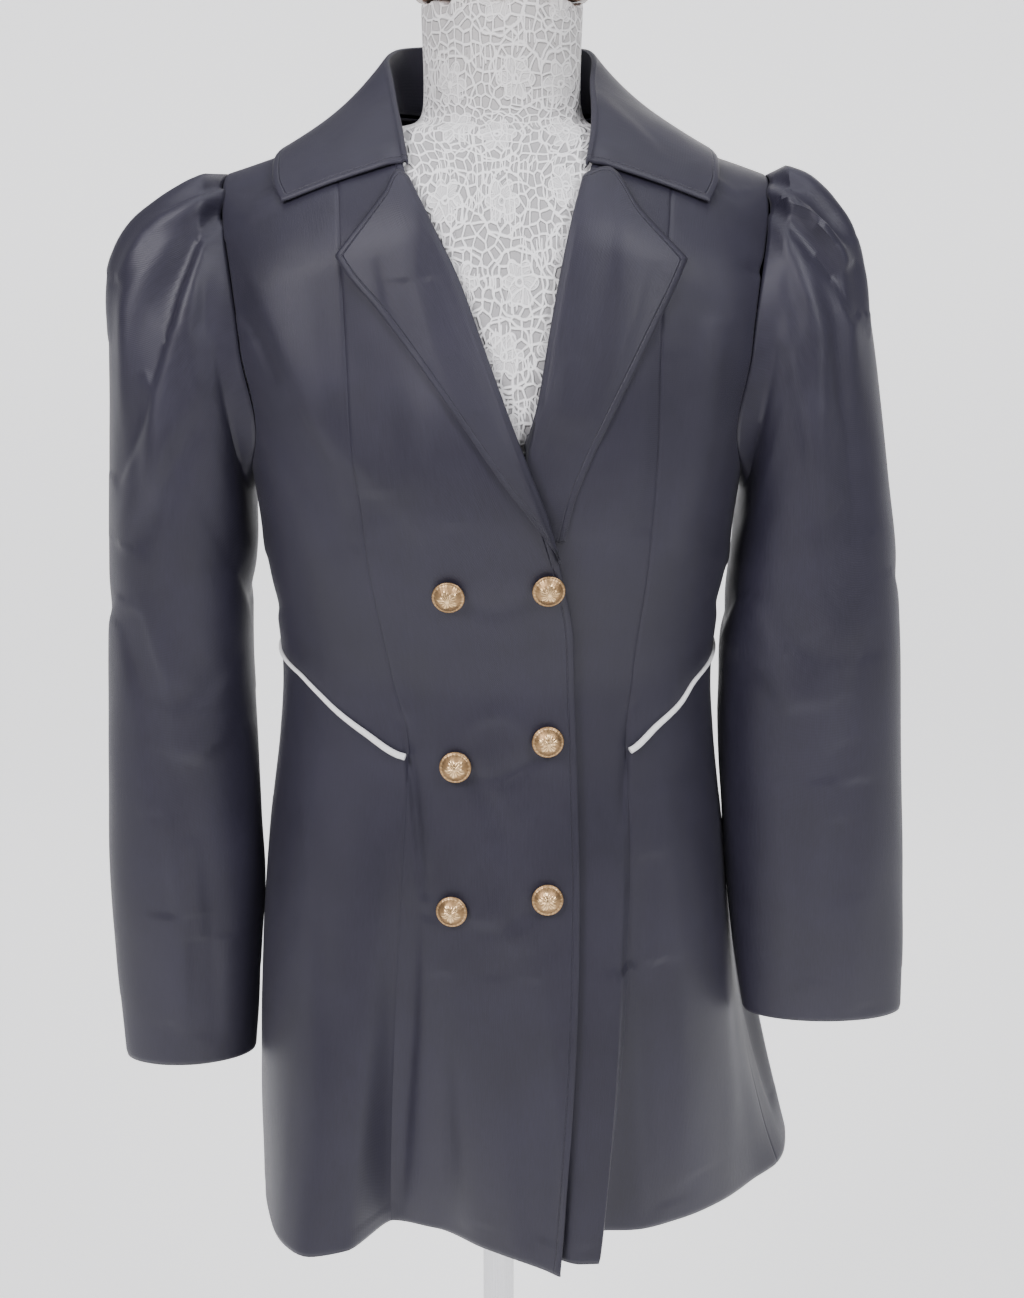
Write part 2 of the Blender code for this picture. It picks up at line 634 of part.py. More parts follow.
def build_sides_and_back():
    """Side panels, split at the piped waist seam, and the full length backs."""
    hem = RINGS_PER_BODICE + RINGS_PER_SKIRT
    for sign, side in ((-1.0, "right"), (1.0, "left")):
        front_rows = FRONT_PRINCESS_RIGHT if sign < 0 else FRONT_PRINCESS_LEFT
        front_seam = line_edge(front_rows)
        back_seam = line_edge(BACK_PRINCESS, mirror=sign < 0, behind=True)
        pairs = (
            ("side_front", front_seam, armhole_edge(sign, False), 7),
            ("side_back", armhole_edge(sign, True), back_seam, 6),
        )
        for part, first, second, count in pairs:
            for half, top, bottom in (("bodice", 0, RINGS_PER_BODICE), ("skirt", RINGS_PER_BODICE, hem)):
                name = f"{part}_{half}_{side}"
                place = panel_map(first, second, top, bottom)
                outer, inner = layers(place, panel_rows(top, bottom), even(count), WALL, flip=sign < 0)
                gap_top = SEAM
                gap_bottom = SEAM if half == "bodice" else 0
                shrink_edges(outer, inner, gap_top, gap_bottom, SEAM, SEAM)
                solid_from_layers(name, outer, inner, cloth("cloth_" + name))
        place = panel_map(back_seam, centre_back_edge(sign), 0, hem)
        outer, inner = layers(place, panel_rows(0, hem), even(5), WALL, flip=sign < 0)
        shrink_edges(outer, inner, SEAM, 0, SEAM, SEAM)
        solid_from_layers(f"back_{side}", outer, inner, cloth(f"cloth_back_{side}"))


def build_form():
    """Dress form: one smooth body with a flat underside, a cap, a pole and a base."""
    heights = [FORM_BOTTOM, 0.85, 0.92, 0.97, 1.02, 1.08, 1.13, 1.18, 1.23, 1.28, 1.315, 1.34]
    inset = WALL + FORM_CLEARANCE
    for x in (0.184, 0.168, 0.148, 0.128, 0.110, 0.094, 0.083):
        heights.append(crest(x) - inset)
    sides = 36
    rings = []
    for height in heights:
        extra = 0.020 * ease(1.0, FORM_BOTTOM, height)
        gap = inset + extra
        reach = crest_x(height + inset)
        half_width = smooth(RINGS, "height", "half_width", height) - gap
        limit = min(FORM_ARM_X, half_width, reach)
        ring = []
        for k in range(sides):
            turn = 360.0 * (k + 0.5) / sides
            x = limit * math.sin(math.radians(turn))
            share = (abs(x) / half_width) ** SQUARENESS
            behind = math.cos(math.radians(turn)) < 0
            depth = smooth(RINGS, "height", "back" if behind else "front", height) - gap
            y = depth * (1 - share) ** (1 / SQUARENESS)
            y = y if behind else -y
            rounding = min(max((crest(x) - inset - height) / SHOULDER_ROUND, 0.0), 1.0)
            y = SHOULDER_Y + (y - SHOULDER_Y) * math.sqrt(1 - (1 - rounding) ** 2)
            ring.append(Vector((x, y, height)))
        rings.append(ring)
    for neck in FORM_NECK:
        ring = []
        for k in range(sides):
            turn = math.radians(360.0 * (k + 0.5) / sides)
            x = NECK_CENTRE_X + neck.half_width * math.sin(turn)
            ring.append(Vector((x, neck.y - neck.half_depth * math.cos(turn), neck.height)))
        rings.append(ring)
    loft("form_torso", rings, make_material("form_cover", (0.80, 0.78, 0.76), 0.8))

    profile = [(0.0, 0.0), (0.0595, 0.0), (0.0610, 0.004), (0.0600, 0.010), (0.0420, 0.019), (0.0, 0.024)]
    turned("form_neck_cap", profile, (NECK_CENTRE_X, 0.010, CAP_HEIGHT + 0.0003), 32,
           make_material("cap_wood", (0.42, 0.27, 0.20), 0.5))
    top = FORM_BOTTOM - 0.0003
    bottom = BASE_THICKNESS + 0.0003
    profile = [(0.0, bottom), (POLE_RADIUS, bottom), (POLE_RADIUS, top), (0.0, top)]
    turned("form_pole", profile, (0.0, 0.0, 0.0), 16, make_material("pole_metal", (0.7, 0.7, 0.7), 0.3, 1.0))
    edge = BASE_THICKNESS
    profile = [(0.0, 0.0), (BASE_RADIUS, 0.0), (BASE_RADIUS, 0.4 * edge), (0.95 * BASE_RADIUS, 0.8 * edge),
               (0.3 * BASE_RADIUS, edge), (0.0, edge)]
    turned("form_base", profile, (0.0, 0.0, 0.0), 40, make_material("base_white", (0.8, 0.8, 0.8), 0.4))


def loft(name, rings, material):
    """Closed solid through rings of equal count, with flat ends."""
    bm = bmesh.new()
    loops = [[bm.verts.new(point) for point in ring] for ring in rings]
    count = len(loops[0])
    for low, high in zip(loops, loops[1:]):
        for k in range(count):
            n = (k + 1) % count
            bm.faces.new((low[k], low[n], high[n], high[k]))
    bm.faces.new(loops[0])
    bm.faces.new(loops[-1])
    return add_object(name, bm, material)


def turned(name, profile, place, sides, material, axis=None):
    """Solid turned from (radius, rise) points that start and end on its axis."""
    axis = axis or Vector((0.0, 0.0, 1.0))
    side = axis.orthogonal().normalized()
    ahead = axis.cross(side)
    bm = bmesh.new()
    loops = []
    for radius, rise in profile[1:-1]:
        ring = []
        for k in range(sides):
            turn = 2 * math.pi * k / sides
            spoke = side * math.cos(turn) + ahead * math.sin(turn)
            ring.append(bm.verts.new(Vector(place) + axis * rise + spoke * radius))
        loops.append(ring)
    for low, high in zip(loops, loops[1:]):
        for k in range(sides):
            n = (k + 1) % sides
            bm.faces.new((low[k], low[n], high[n], high[k]))
    for loop, end, near in ((loops[0], profile[0], profile[1]), (loops[-1], profile[-1], profile[-2])):
        if abs(end[1] - near[1]) < 1e-9:
            bm.faces.new(loop)
            continue
        pole = bm.verts.new(Vector(place) + axis * end[1])
        for k in range(sides):
            bm.faces.new((loop[k], loop[(k + 1) % sides], pole))
    return add_object(name, bm, material)


def build_sleeves():
    """Sleeve tubes from the armhole to the open cuff, with a pleated head."""
    for sign, side, rows in ((-1.0, "right", SLEEVE_RIGHT), (1.0, "left", SLEEVE_LEFT)):
        outer = []
        inner = []
        count = len(rows)
        for ring in range(count + 1):
            outer_row = []
            inner_row = []
            for k in range(SLEEVE_SIDES):
                share = k / SLEEVE_SIDES
                turn = 360.0 * share
                turn -= math.degrees(SLEEVE_CROWD) * math.sin(math.radians(turn))
                point = sleeve_point(rows, sign, ring, turn)
                ahead = sleeve_point(rows, sign, ring, turn + 1.0) - sleeve_point(rows, sign, ring, turn - 1.0)
                low = max(ring - 0.02, 0.0)
                high = min(ring + 0.02, count)
                along = sleeve_point(rows, sign, high, turn) - sleeve_point(rows, sign, low, turn)
                out = ahead.cross(along).normalized() * sign
                if ring == 0:
                    out.x = 0.0
                    out.normalize()
                outer_row.append(point)
                inner_row.append(point - out * WALL)
            outer.append(outer_row)
            inner.append(inner_row)
        name = f"sleeve_{side}"
        solid_from_layers(name, outer, inner, cloth("cloth_" + name), closed=True)


def armhole_point(sign, turn):
    """Point of the armhole; turn runs from the shoulder forwards to the underarm."""
    turn = (turn + 360.0) % 360.0
    middle = (SHOULDER_HEIGHT + UNDERARM_HEIGHT) / 2
    half = (SHOULDER_HEIGHT - UNDERARM_HEIGHT) / 2
    height = middle + half * math.cos(math.radians(turn))
    edge = armhole_edge(sign, turn > 180.0)
    point = body_point(edge.angle(height), height)
    point.x += sign * ARMHOLE_GAP
    return point


def sleeve_point(rows, sign, ring, turn):
    """Point of a sleeve's outer face; ring 0 is the armhole, then one for each row."""
    if ring < 1.0:
        start = armhole_point(sign, turn)
        if ring == 0.0:
            return start
        return start.lerp(sleeve_point(rows, sign, 1.0, turn), ring)
    index = min(int(ring), len(rows))
    share = ring - index
    point = row_point(rows[index - 1], sign, index, turn)
    if share > 0.0:
        point = point.lerp(row_point(rows[index], sign, index + 1, turn), share)
    return point


def row_point(row, sign, ring, turn):
    """Point of one sleeve row, with the pleats that cross it."""
    cosine = math.cos(math.radians(turn))
    sine = math.sin(math.radians(turn))
    raised = 0.0
    for pleat in PLEATS:
        if pleat.first < ring < pleat.last:
            middle = pleat.turn + pleat.drift * (ring - pleat.first)
            away = (turn - middle + 180.0) % 360.0 - 180.0
            strength = ease(pleat.first, pleat.peak, ring) * ease(pleat.last, pleat.peak, ring)
            raised += pleat.height * strength * math.exp(-(away / pleat.width) ** 2)
    half = Vector(((row.outer_x - row.inner_x) / 2, 0.0, (row.outer_height - row.inner_height) / 2))
    centre = Vector(((row.outer_x + row.inner_x) / 2, row.y, (row.outer_height + row.inner_height) / 2))
    scale = 1.0 + raised / half.length
    depth = row.depth + raised
    point = centre + half * (cosine * scale)
    point.y -= depth * sine
    point.x *= sign
    return point


def over_shoulder(x, turn):
    """Point of the body at x, turned over the shoulder line, to the front when positive."""
    height = crest(x) - SHOULDER_ROUND * (1 - math.cos(math.radians(turn)))
    half_width = smooth(RINGS, "height", "half_width", height)
    side = "front" if turn > 0 else "back"
    depth = smooth(RINGS, "height", side, height)
    y = depth * (1 - min(abs(x) / half_width, 1.0) ** SQUARENESS) ** (1 / SQUARENESS)
    y = -y if turn > 0 else y
    return Vector((x, mix(SHOULDER_Y, y, math.sin(math.radians(abs(turn)))), height))


def shoulder_normal(x, turn):
    across = over_shoulder(x + 0.001, turn) - over_shoulder(x - 0.001, turn)
    forward = over_shoulder(x, turn + 0.5) - over_shoulder(x, turn - 0.5)
    out = forward.cross(across)
    return out.normalized() if out.z > 0 else -out.normalized()


def clear_of_body(point, gap):
    """Move a point out until it is a gap clear of the shoulder and chest."""
    for _ in range(40):
        fall = max(crest(point.x) - point.z, 0.0)
        by_height = math.degrees(math.acos(max(1 - fall / SHOULDER_ROUND, 0.0)))
        side = 1.0 if point.y < SHOULDER_Y else -1.0
        reach = abs(over_shoulder(point.x, 90.0 * side).y - SHOULDER_Y)
        by_depth = math.degrees(math.asin(min(abs(point.y - SHOULDER_Y) / reach, 1.0)))
        turn = side * (by_height + by_depth) / 2
        near = over_shoulder(point.x, turn)
        out = shoulder_normal(point.x, turn)
        short = gap - (point - near).dot(out)
        if short <= 0.0:
            break
        point = point + out * min(short, 0.001)
    return point


def grid_layers(outer, wall, flip=False):
    """Second layer of a wall from the first, by the slopes between neighbouring points."""
    rows = len(outer)
    columns = len(outer[0])
    inner = []
    for r in range(rows):
        inner_row = []
        for c in range(columns):
            across = unit_step(outer[r][max(c - 1, 0)], outer[r][c], outer[r][min(c + 1, columns - 1)])
            down = unit_step(outer[max(r - 1, 0)][c], outer[r][c], outer[min(r + 1, rows - 1)][c])
            out = down.cross(across).normalized()
            if flip:
                out = -out
            inner_row.append(outer[r][c] - out * wall)
        inner.append(inner_row)
    return inner


def unit_step(before, here, after):
    """Mean direction through three neighbouring points."""
    total = Vector((0.0, 0.0, 0.0))
    if (here - before).length > 0:
        total += (here - before).normalized()
    if (after - here).length > 0:
        total += (after - here).normalized()
    return total.normalized()


def collar_column(at, sign):
    """Points of one collar column: up the stand, over the roll and down the fall."""
    read = {field: smooth(COLLAR, "at", field, at) for field in Collar._fields}
    neck = Vector((sign * read["neck_x"], read["neck_y"], read["neck_z"]))
    roll = Vector((sign * read["roll_x"] + read["lean"], read["roll_y"], read["roll_z"]))
    edge_x = sign * read["edge_x"]
    edge = over_shoulder(edge_x, read["edge_turn"])
    edge += shoulder_normal(edge_x, read["edge_turn"]) * COLLAR_LIFT
    away = edge - roll
    away.z = 0.0
    away.normalize()
    centre = roll - Vector((0.0, 0.0, COLLAR_ROLL))
    points = [neck, neck.lerp(centre - away * COLLAR_ROLL, 0.55)]
    for turn in (0.0, 50.0, 100.0, 150.0):
        lean = math.radians(turn)
        points.append(centre - away * (COLLAR_ROLL * math.cos(lean)) + Vector((0, 0, COLLAR_ROLL * math.sin(lean))))
    start = points[-1]
    for share in COLLAR_FALL:
        point = start.lerp(edge, share)
        point.z += COLLAR_CROWN * math.sin(math.pi * share)
        points.append(clear_of_body(point, COLLAR_CLEAR))
    return points


def build_collar():
    """Collar with its stand and fall, round the neck from one gorge to the other."""
    columns = []
    for step in range(-COLLAR_COLUMNS, COLLAR_COLUMNS + 1):
        at = (len(COLLAR) - 1) * abs(step) / COLLAR_COLUMNS
        columns.append(collar_column(at, -1.0 if step < 0 else 1.0))
    inner = grid_layers(columns, WALL, flip=True)
    solid_from_layers("collar", columns, inner, cloth("cloth_collar"))


def lapel_point(rows, gorge, down, run, share, out, lap):
    """Point of a lapel: a distance from its roll, plus a share of the way to its outer edge."""
    roll = Vector((smooth(rows, "down", "roll_x", down), 0.0, smooth(rows, "down", "roll_z", down)))
    outer = Vector((smooth(rows, "down", "outer_x", down), 0.0, smooth(rows, "down", "outer_z", down)))
    width = (outer - roll).length
    scale = min(1.0, width / 0.012)
    start = roll + (outer - roll) * (run * scale / width)
    place = start.lerp(outer, share)
    across = (place - roll).length / width
    peak, rise = gorge
    bend = [Line(0.0, 0.0), Line(peak, rise), Line(1.8 * peak, 0.35 * rise), Line(1.0, 0.0)]
    place.z += smooth(bend, "height", "x", across) * ease(0.13, 0.0, down)
    height = place.z
    angle = angle_at(place.x, height)
    if lap:
        out += lap_out(angle, height)
    return body_point(angle, height) + body_normal(angle, height) * out


def build_lapels():
    """Lapels turned back from each front along the roll."""
    jobs = (("lapel_right", LAPEL_RIGHT, GORGE_RIGHT, True), ("lapel_left", LAPEL_LEFT, GORGE_LEFT, False))
    for name, rows, gorge, over in jobs:
        points = []
        for down in even(LAPEL_ROWS):
            line = []
            flat = 0.0 if over else ease(0.60, 0.74, down)
            for bent in LAPEL_ROLL:
                out = mix(bent.out, LAPEL_UNDER, flat)
                line.append(lapel_point(rows, gorge, down, bent.run, 0.0, out, over))
            for rest in LAPEL_REST:
                out = mix(rest.out, LAPEL_UNDER, flat)
                line.append(lapel_point(rows, gorge, down, LAPEL_ROLL[-1].run, rest.run, out, over))
            points.append(line)
        inner = grid_layers(points, WALL, flip=not over)
        solid_from_layers(name, points, inner, cloth("cloth_" + name))


def build_piping():
    """Corded piping laid along the curved waist seam of the side panels."""
    for sign, side in ((-1.0, "right"), (1.0, "left")):
        front = line_edge(FRONT_PRINCESS_RIGHT if sign < 0 else FRONT_PRINCESS_LEFT).waist_angle
        back = line_edge(BACK_PRINCESS, mirror=sign < 0, behind=True).waist_angle
        turns = [mix(front, sign * 90.0, step / 14) for step in range(14)]
        turns += [mix(sign * 90.0, back, step / 12) for step in range(13)]
        turns[0] += sign * 0.4
        turns[-1] -= sign * 0.4
        rings = []
        for index, turn in enumerate(turns):
            height = waist_height(turn)
            radius = mix(PIPING_FRONT_RADIUS, PIPING_RADIUS, ease(0, 8, index))
            out = body_normal(turn, height)
            centre = body_point(turn, height) + out * (radius + 0.0006)
            up = Vector((0, 0, 1))
            up = (up - out * up.dot(out)).normalized()
            ring = []
            for k in range(6):
                lean = 2 * math.pi * (k + 0.5) / 6
                ring.append(centre + out * (radius * math.cos(lean)) + up * (radius * math.sin(lean)))
            rings.append(ring)
        loft(f"piping_{side}", rings, make_material(f"piping_white_{side}", (0.85, 0.85, 0.84), 0.6))


def build_buttons():
    """Domed metal buttons in two columns on the over front."""
    for number, button in enumerate(BUTTONS, start=1):
        angle = angle_at(button.x, button.height)
        out = body_normal(angle, button.height)
        place = body_point(angle, button.height) + out * lap_out(angle, button.height)
        name = f"button_{number}"
        turned(name, BUTTON_PROFILE, place, 14, make_material("gilt_" + name, (0.83, 0.62, 0.36), 0.25, 1.0), out)


def main():
    for item in list(bpy.data.objects):
        bpy.data.objects.remove(item)
    build_fronts()
    build_sides_and_back()
    build_collar()
    build_lapels()
    build_piping()
    build_buttons()
    build_sleeves()
    build_form()


main()
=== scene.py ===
# Longline jacket on a dress form: cloth shells with folds, piping, gilt buttons, lace cover and stand
import math
from bisect import bisect
from collections import namedtuple
from functools import lru_cache

import bmesh
import bpy
import numpy as np
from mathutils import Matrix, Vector, noise


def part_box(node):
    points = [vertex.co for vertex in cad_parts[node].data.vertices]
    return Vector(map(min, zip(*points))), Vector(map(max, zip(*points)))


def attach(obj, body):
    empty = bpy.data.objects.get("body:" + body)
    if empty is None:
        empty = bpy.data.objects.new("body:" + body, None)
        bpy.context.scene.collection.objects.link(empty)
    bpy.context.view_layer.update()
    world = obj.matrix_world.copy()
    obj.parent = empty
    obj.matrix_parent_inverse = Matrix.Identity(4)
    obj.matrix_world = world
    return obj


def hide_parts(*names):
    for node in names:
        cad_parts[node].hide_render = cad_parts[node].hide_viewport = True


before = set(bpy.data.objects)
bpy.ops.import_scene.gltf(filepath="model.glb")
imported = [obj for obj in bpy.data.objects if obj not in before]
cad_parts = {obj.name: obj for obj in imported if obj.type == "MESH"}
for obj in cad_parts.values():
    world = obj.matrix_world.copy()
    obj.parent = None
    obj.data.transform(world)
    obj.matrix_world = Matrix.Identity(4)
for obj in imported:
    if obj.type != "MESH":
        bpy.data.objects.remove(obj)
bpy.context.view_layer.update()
print("frame loaded:", len(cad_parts), "nodes")

# The cloth of every piece, in metres: its wall, grid, sunk seams, turned edges, slack and topstitching
cloth = {
    "thick": 0.0013, "cellSize": 0.0034, "seamDepth": 0.0011, "seamWidth": 0.0017, "seamLap": 0.0016,
    "edgeDepth": 0.0007, "edgeWidth": 0.0012, "slack": 0.0007, "slackSize": 0.055, "slackStretch": 0.45,
    "stitchIn": 0.0048, "stitchWidth": 0.0009, "stitchLength": 0.0030, "merge": 0.00002, "closeUp": 0.00001,
}
edgeNames = ("left", "right", "top", "bottom")
curves = {}


# reads a column of a table at a key, on a curve that never overshoots its rows
def smooth(rows, key, column, at):
    name = (id(rows), key, column)
    if name not in curves:
        pairs = sorted((getattr(row, key), getattr(row, column)) for row in rows)
        keys = [pair[0] for pair in pairs]
        values = [pair[1] for pair in pairs]
        slopes = [(values[i + 1] - values[i]) / (keys[i + 1] - keys[i]) for i in range(len(keys) - 1)]
        tangents = [slopes[0]]
        for before, after in zip(slopes, slopes[1:]):
            tangents.append(2.0 * before * after / (before + after) if before * after > 0.0 else 0.0)
        tangents.append(slopes[-1])
        curves[name] = keys, values, tangents, rows
    keys, values, tangents = curves[name][:3]
    at = min(max(at, keys[0]), keys[-1])
    slot = min(max(bisect(keys, at) - 1, 0), len(keys) - 2)
    span = keys[slot + 1] - keys[slot]
    t = (at - keys[slot]) / span
    start = (1 + 2 * t) * (1 - t) ** 2 * values[slot] + t * (1 - t) ** 2 * span * tangents[slot]
    end = t * t * (3 - 2 * t) * values[slot + 1] + t * t * (t - 1) * span * tangents[slot + 1]
    return start + end


# point at an index along a list of points, on a curve through them
def through(points, index):
    slot = min(int(index), len(points) - 2)
    share = index - slot
    before = points[max(slot - 1, 0)]
    start = points[slot]
    end = points[slot + 1]
    after = points[min(slot + 2, len(points) - 1)]
    square = share * share
    cube = square * share
    bend = (end - before) * (share - 2 * square + cube) + (after - start) * (cube - square)
    return start * (2 * cube - 3 * square + 1) + end * (3 * square - 2 * cube) + bend * 0.5


# 0 at start, 1 at end, and a soft step between them; start may be the larger
def ease(start, end, value):
    t = min(max((value - start) / (end - start), 0.0), 1.0)
    return t * t * (3 - 2 * t)


def mix(a, b, share):
    return a + (b - a) * share


# a socket that takes part in sums
class Wire:
    def __init__(self, paint, socket):
        self.paint = paint
        self.socket = socket

    def join(self, operation, *others):
        return self.paint.node("ShaderNodeMath", {"operation": operation}, dict(enumerate((self, *others))))

    def __add__(self, other):
        return self.join("ADD", other)

    __radd__ = __add__

    def __mul__(self, other):
        return self.join("MULTIPLY", other)

    __rmul__ = __mul__

    def __sub__(self, other):
        return self.join("SUBTRACT", other)

    def __rsub__(self, other):
        return self.paint.node("ShaderNodeMath", {"operation": "SUBTRACT"}, {0: other, 1: self})

    # 0 below low, 1 above high, soft between; low may be the larger
    def step(self, low, high):
        return self.paint.node("ShaderNodeMapRange", {"interpolation_type": "SMOOTHSTEP", "clamp": True},
                               {"Value": self, "From Min": low, "From Max": high}, "Result")


# a material and its nodes
class Paint:
    def __init__(self, name, roughness=0.5, metallic=0.0, **constants):
        self.material = bpy.data.materials.new(name)
        self.material.use_nodes = True
        self.tree = self.material.node_tree
        self.shader = self.tree.nodes["Principled BSDF"]
        self.shader.inputs["Roughness"].default_value = roughness
        self.shader.inputs["Metallic"].default_value = metallic
        for socket, value in constants.items():
            self.shader.inputs[socket].default_value = value

    # a node of a kind: its settings first, then the values or links of its sockets
    def node(self, kind, settings=None, values=None, output=0):
        made = self.tree.nodes.new(kind)
        for key, value in (settings or {}).items():
            setattr(made, key, value)
        for key, value in (values or {}).items():
            if isinstance(value, Wire):
                self.tree.links.new(value.socket, made.inputs[key])
            else:
                made.inputs[key].default_value = value
        return Wire(self, made.outputs[output])

    def feed(self, socket, wire):
        self.tree.links.new(wire.socket, self.shader.inputs[socket])

    # point of the object, stretched along its axes
    def place(self, scale=(1.0, 1.0, 1.0)):
        spot = self.node("ShaderNodeTexCoord", output="Object")
        return self.node("ShaderNodeMapping", values={"Vector": spot, "Scale": scale})

    # point of the cut cloth, in metres
    def cut(self, scale=(1.0, 1.0, 1.0), turn=0.0):
        spot = self.node("ShaderNodeUVMap", {"uv_map": "cut"})
        values = {"Vector": spot, "Scale": scale, "Rotation": (0, 0, turn)}
        return self.node("ShaderNodeMapping", values=values)

    # noise with grains of a size
    def grain(self, spot, size, detail=3.0, rough=0.55):
        values = {"Vector": spot, "Scale": 1.0 / size, "Detail": detail, "Roughness": rough}
        return self.node("ShaderNodeTexNoise", values=values)

    # even bands, one for each pitch
    def wave(self, spot, pitch):
        values = {"Vector": spot, "Scale": 2 * math.pi / 20 / pitch, "Distortion": 0.0}
        return self.node("ShaderNodeTexWave", {"wave_type": "BANDS", "wave_profile": "SIN"}, values, 1)

    # a colour between low and high
    def blend(self, share, low, high):
        values = {0: share, 6: low, 7: high}
        for key in (6, 7):
            if not isinstance(values[key], Wire):
                values[key] = (*values[key], 1.0)
        return self.node("ShaderNodeMix", {"data_type": "RGBA"}, values, 2)

    # bumps as deep as the distance, in metres, where the height is 1
    def relief(self, height, distance):
        values = {"Height": height, "Distance": distance, "Strength": 1.0}
        self.feed("Normal", self.node("ShaderNodeBump", values=values))


twill = {
    "outer": {"low": (0.0088, 0.0077, 0.0158), "high": (0.0225, 0.0203, 0.0375), "roughness": 0.49},
    "inner": {"low": (0.006, 0.006, 0.010), "high": (0.014, 0.014, 0.020), "roughness": 0.5},
    "weft": 0.00085, "weftTurn": 38, "warp": 0.0011, "fibre": 0.0016, "cloud": 0.07, "relief": 0.0006,
    "stitchTurn": 50,
}


# dark twill with a soft sheen: finer colour on the high threads, a little cloudiness from wear
def twillPaint(name, side):
    look = twill[side]
    paint = Paint(name, look["roughness"],
                  **{"Sheen Weight": 0.04, "Sheen Roughness": 0.5, "Specular IOR Level": 0.42})
    weft = paint.wave(paint.cut(turn=math.radians(twill["weftTurn"])), twill["weft"])
    warp = paint.wave(paint.cut(), twill["warp"])
    weave = weft * 0.7 + warp * 0.3
    fibre = paint.grain(paint.cut((1.0, 0.12, 1.0)), twill["fibre"], 2.0)
    cloudy = paint.grain(paint.place(), twill["cloud"], 3.0)
    share = weave * 0.35 + fibre * 0.35 + cloudy * 0.55 - 0.12
    paint.feed("Base Color", paint.blend(share.step(0.15, 0.95), look["low"], look["high"]))
    paint.feed("Roughness", cloudy * 0.14 + fibre * 0.1 + (look["roughness"] - 0.12))
    # topstitching a little in from the turned edges
    rim = paint.node("ShaderNodeAttribute", {"attribute_name": "rim"}, output="Fac")
    away = (rim - cloth["stitchIn"]).join("ABSOLUTE").step(cloth["stitchWidth"], 0.0)
    thread = paint.cut((1.0, 0.8, 1.0), math.radians(twill["stitchTurn"]))
    dash = paint.wave(thread, cloth["stitchLength"]).step(0.25, 0.45)
    paint.relief(weave * 0.12 + fibre * 0.16 - away * (0.6 + dash * 0.4), twill["relief"])
    return paint.material


cotton = {
    "low": (0.72, 0.72, 0.70), "high": (0.88, 0.88, 0.87), "roughness": 0.6,
    "twist": 0.0012, "twistTurn": 40, "soil": 0.012, "relief": 0.0001,
}


# white cotton, wound on the bias
def pipingPaint():
    paint = Paint("pipingCotton", cotton["roughness"])
    twist = paint.wave(paint.cut(turn=math.radians(cotton["twistTurn"])), cotton["twist"])
    soil = paint.grain(paint.place(), cotton["soil"])
    paint.feed("Base Color", paint.blend(soil, cotton["low"], cotton["high"]))
    paint.relief(twist, cotton["relief"])
    return paint.material


plating = {
    "dull": (0.70, 0.44, 0.20), "bright": (0.90, 0.66, 0.38), "hollow": (0.26, 0.15, 0.07),
    "cloud": 0.004, "scratch": 0.0012, "relief": 0.00005,
}


# pale gilt, darker in the hollows of its relief and scratched on top
def giltPaint():
    paint = Paint("gilt", 0.24, 1.0)
    cloudy = paint.grain(paint.place(), plating["cloud"])
    scratch = paint.grain(paint.place((1.0, 1.0, 7.0)), plating["scratch"])
    hollow = paint.node("ShaderNodeAttribute", {"attribute_name": "hollow"}, output="Fac")
    surface = paint.blend(cloudy, plating["dull"], plating["bright"])
    paint.feed("Base Color", paint.blend(hollow, surface, plating["hollow"]))
    paint.feed("Roughness", 0.14 + scratch * 0.2 + hollow * 0.3)
    paint.relief(scratch + cloudy * 2.0, plating["relief"])
    return paint.material


laceWork = {
    "net": 0.0088, "netScatter": 0.8, "thread": 0.0011, "flowerGap": 0.052, "flowerScatter": 0.45,
    "flower": 0.0165, "petals": 6, "veins": 15, "cord": 0.0013, "eye": 0.0034,
    "scallop": 1.42, "scallops": 9, "scallopRise": 0.0009, "leafRib": 0.0046, "leafPatch": 0.028,
    "stir": 0.004, "stirScale": 60.0, "relief": 0.0016, "neckFrom": 1.37, "neckFull": 1.43,
    "jersey": (0.40, 0.39, 0.39), "lace": (0.92, 0.91, 0.90), "neck": (0.62, 0.585, 0.545),
}


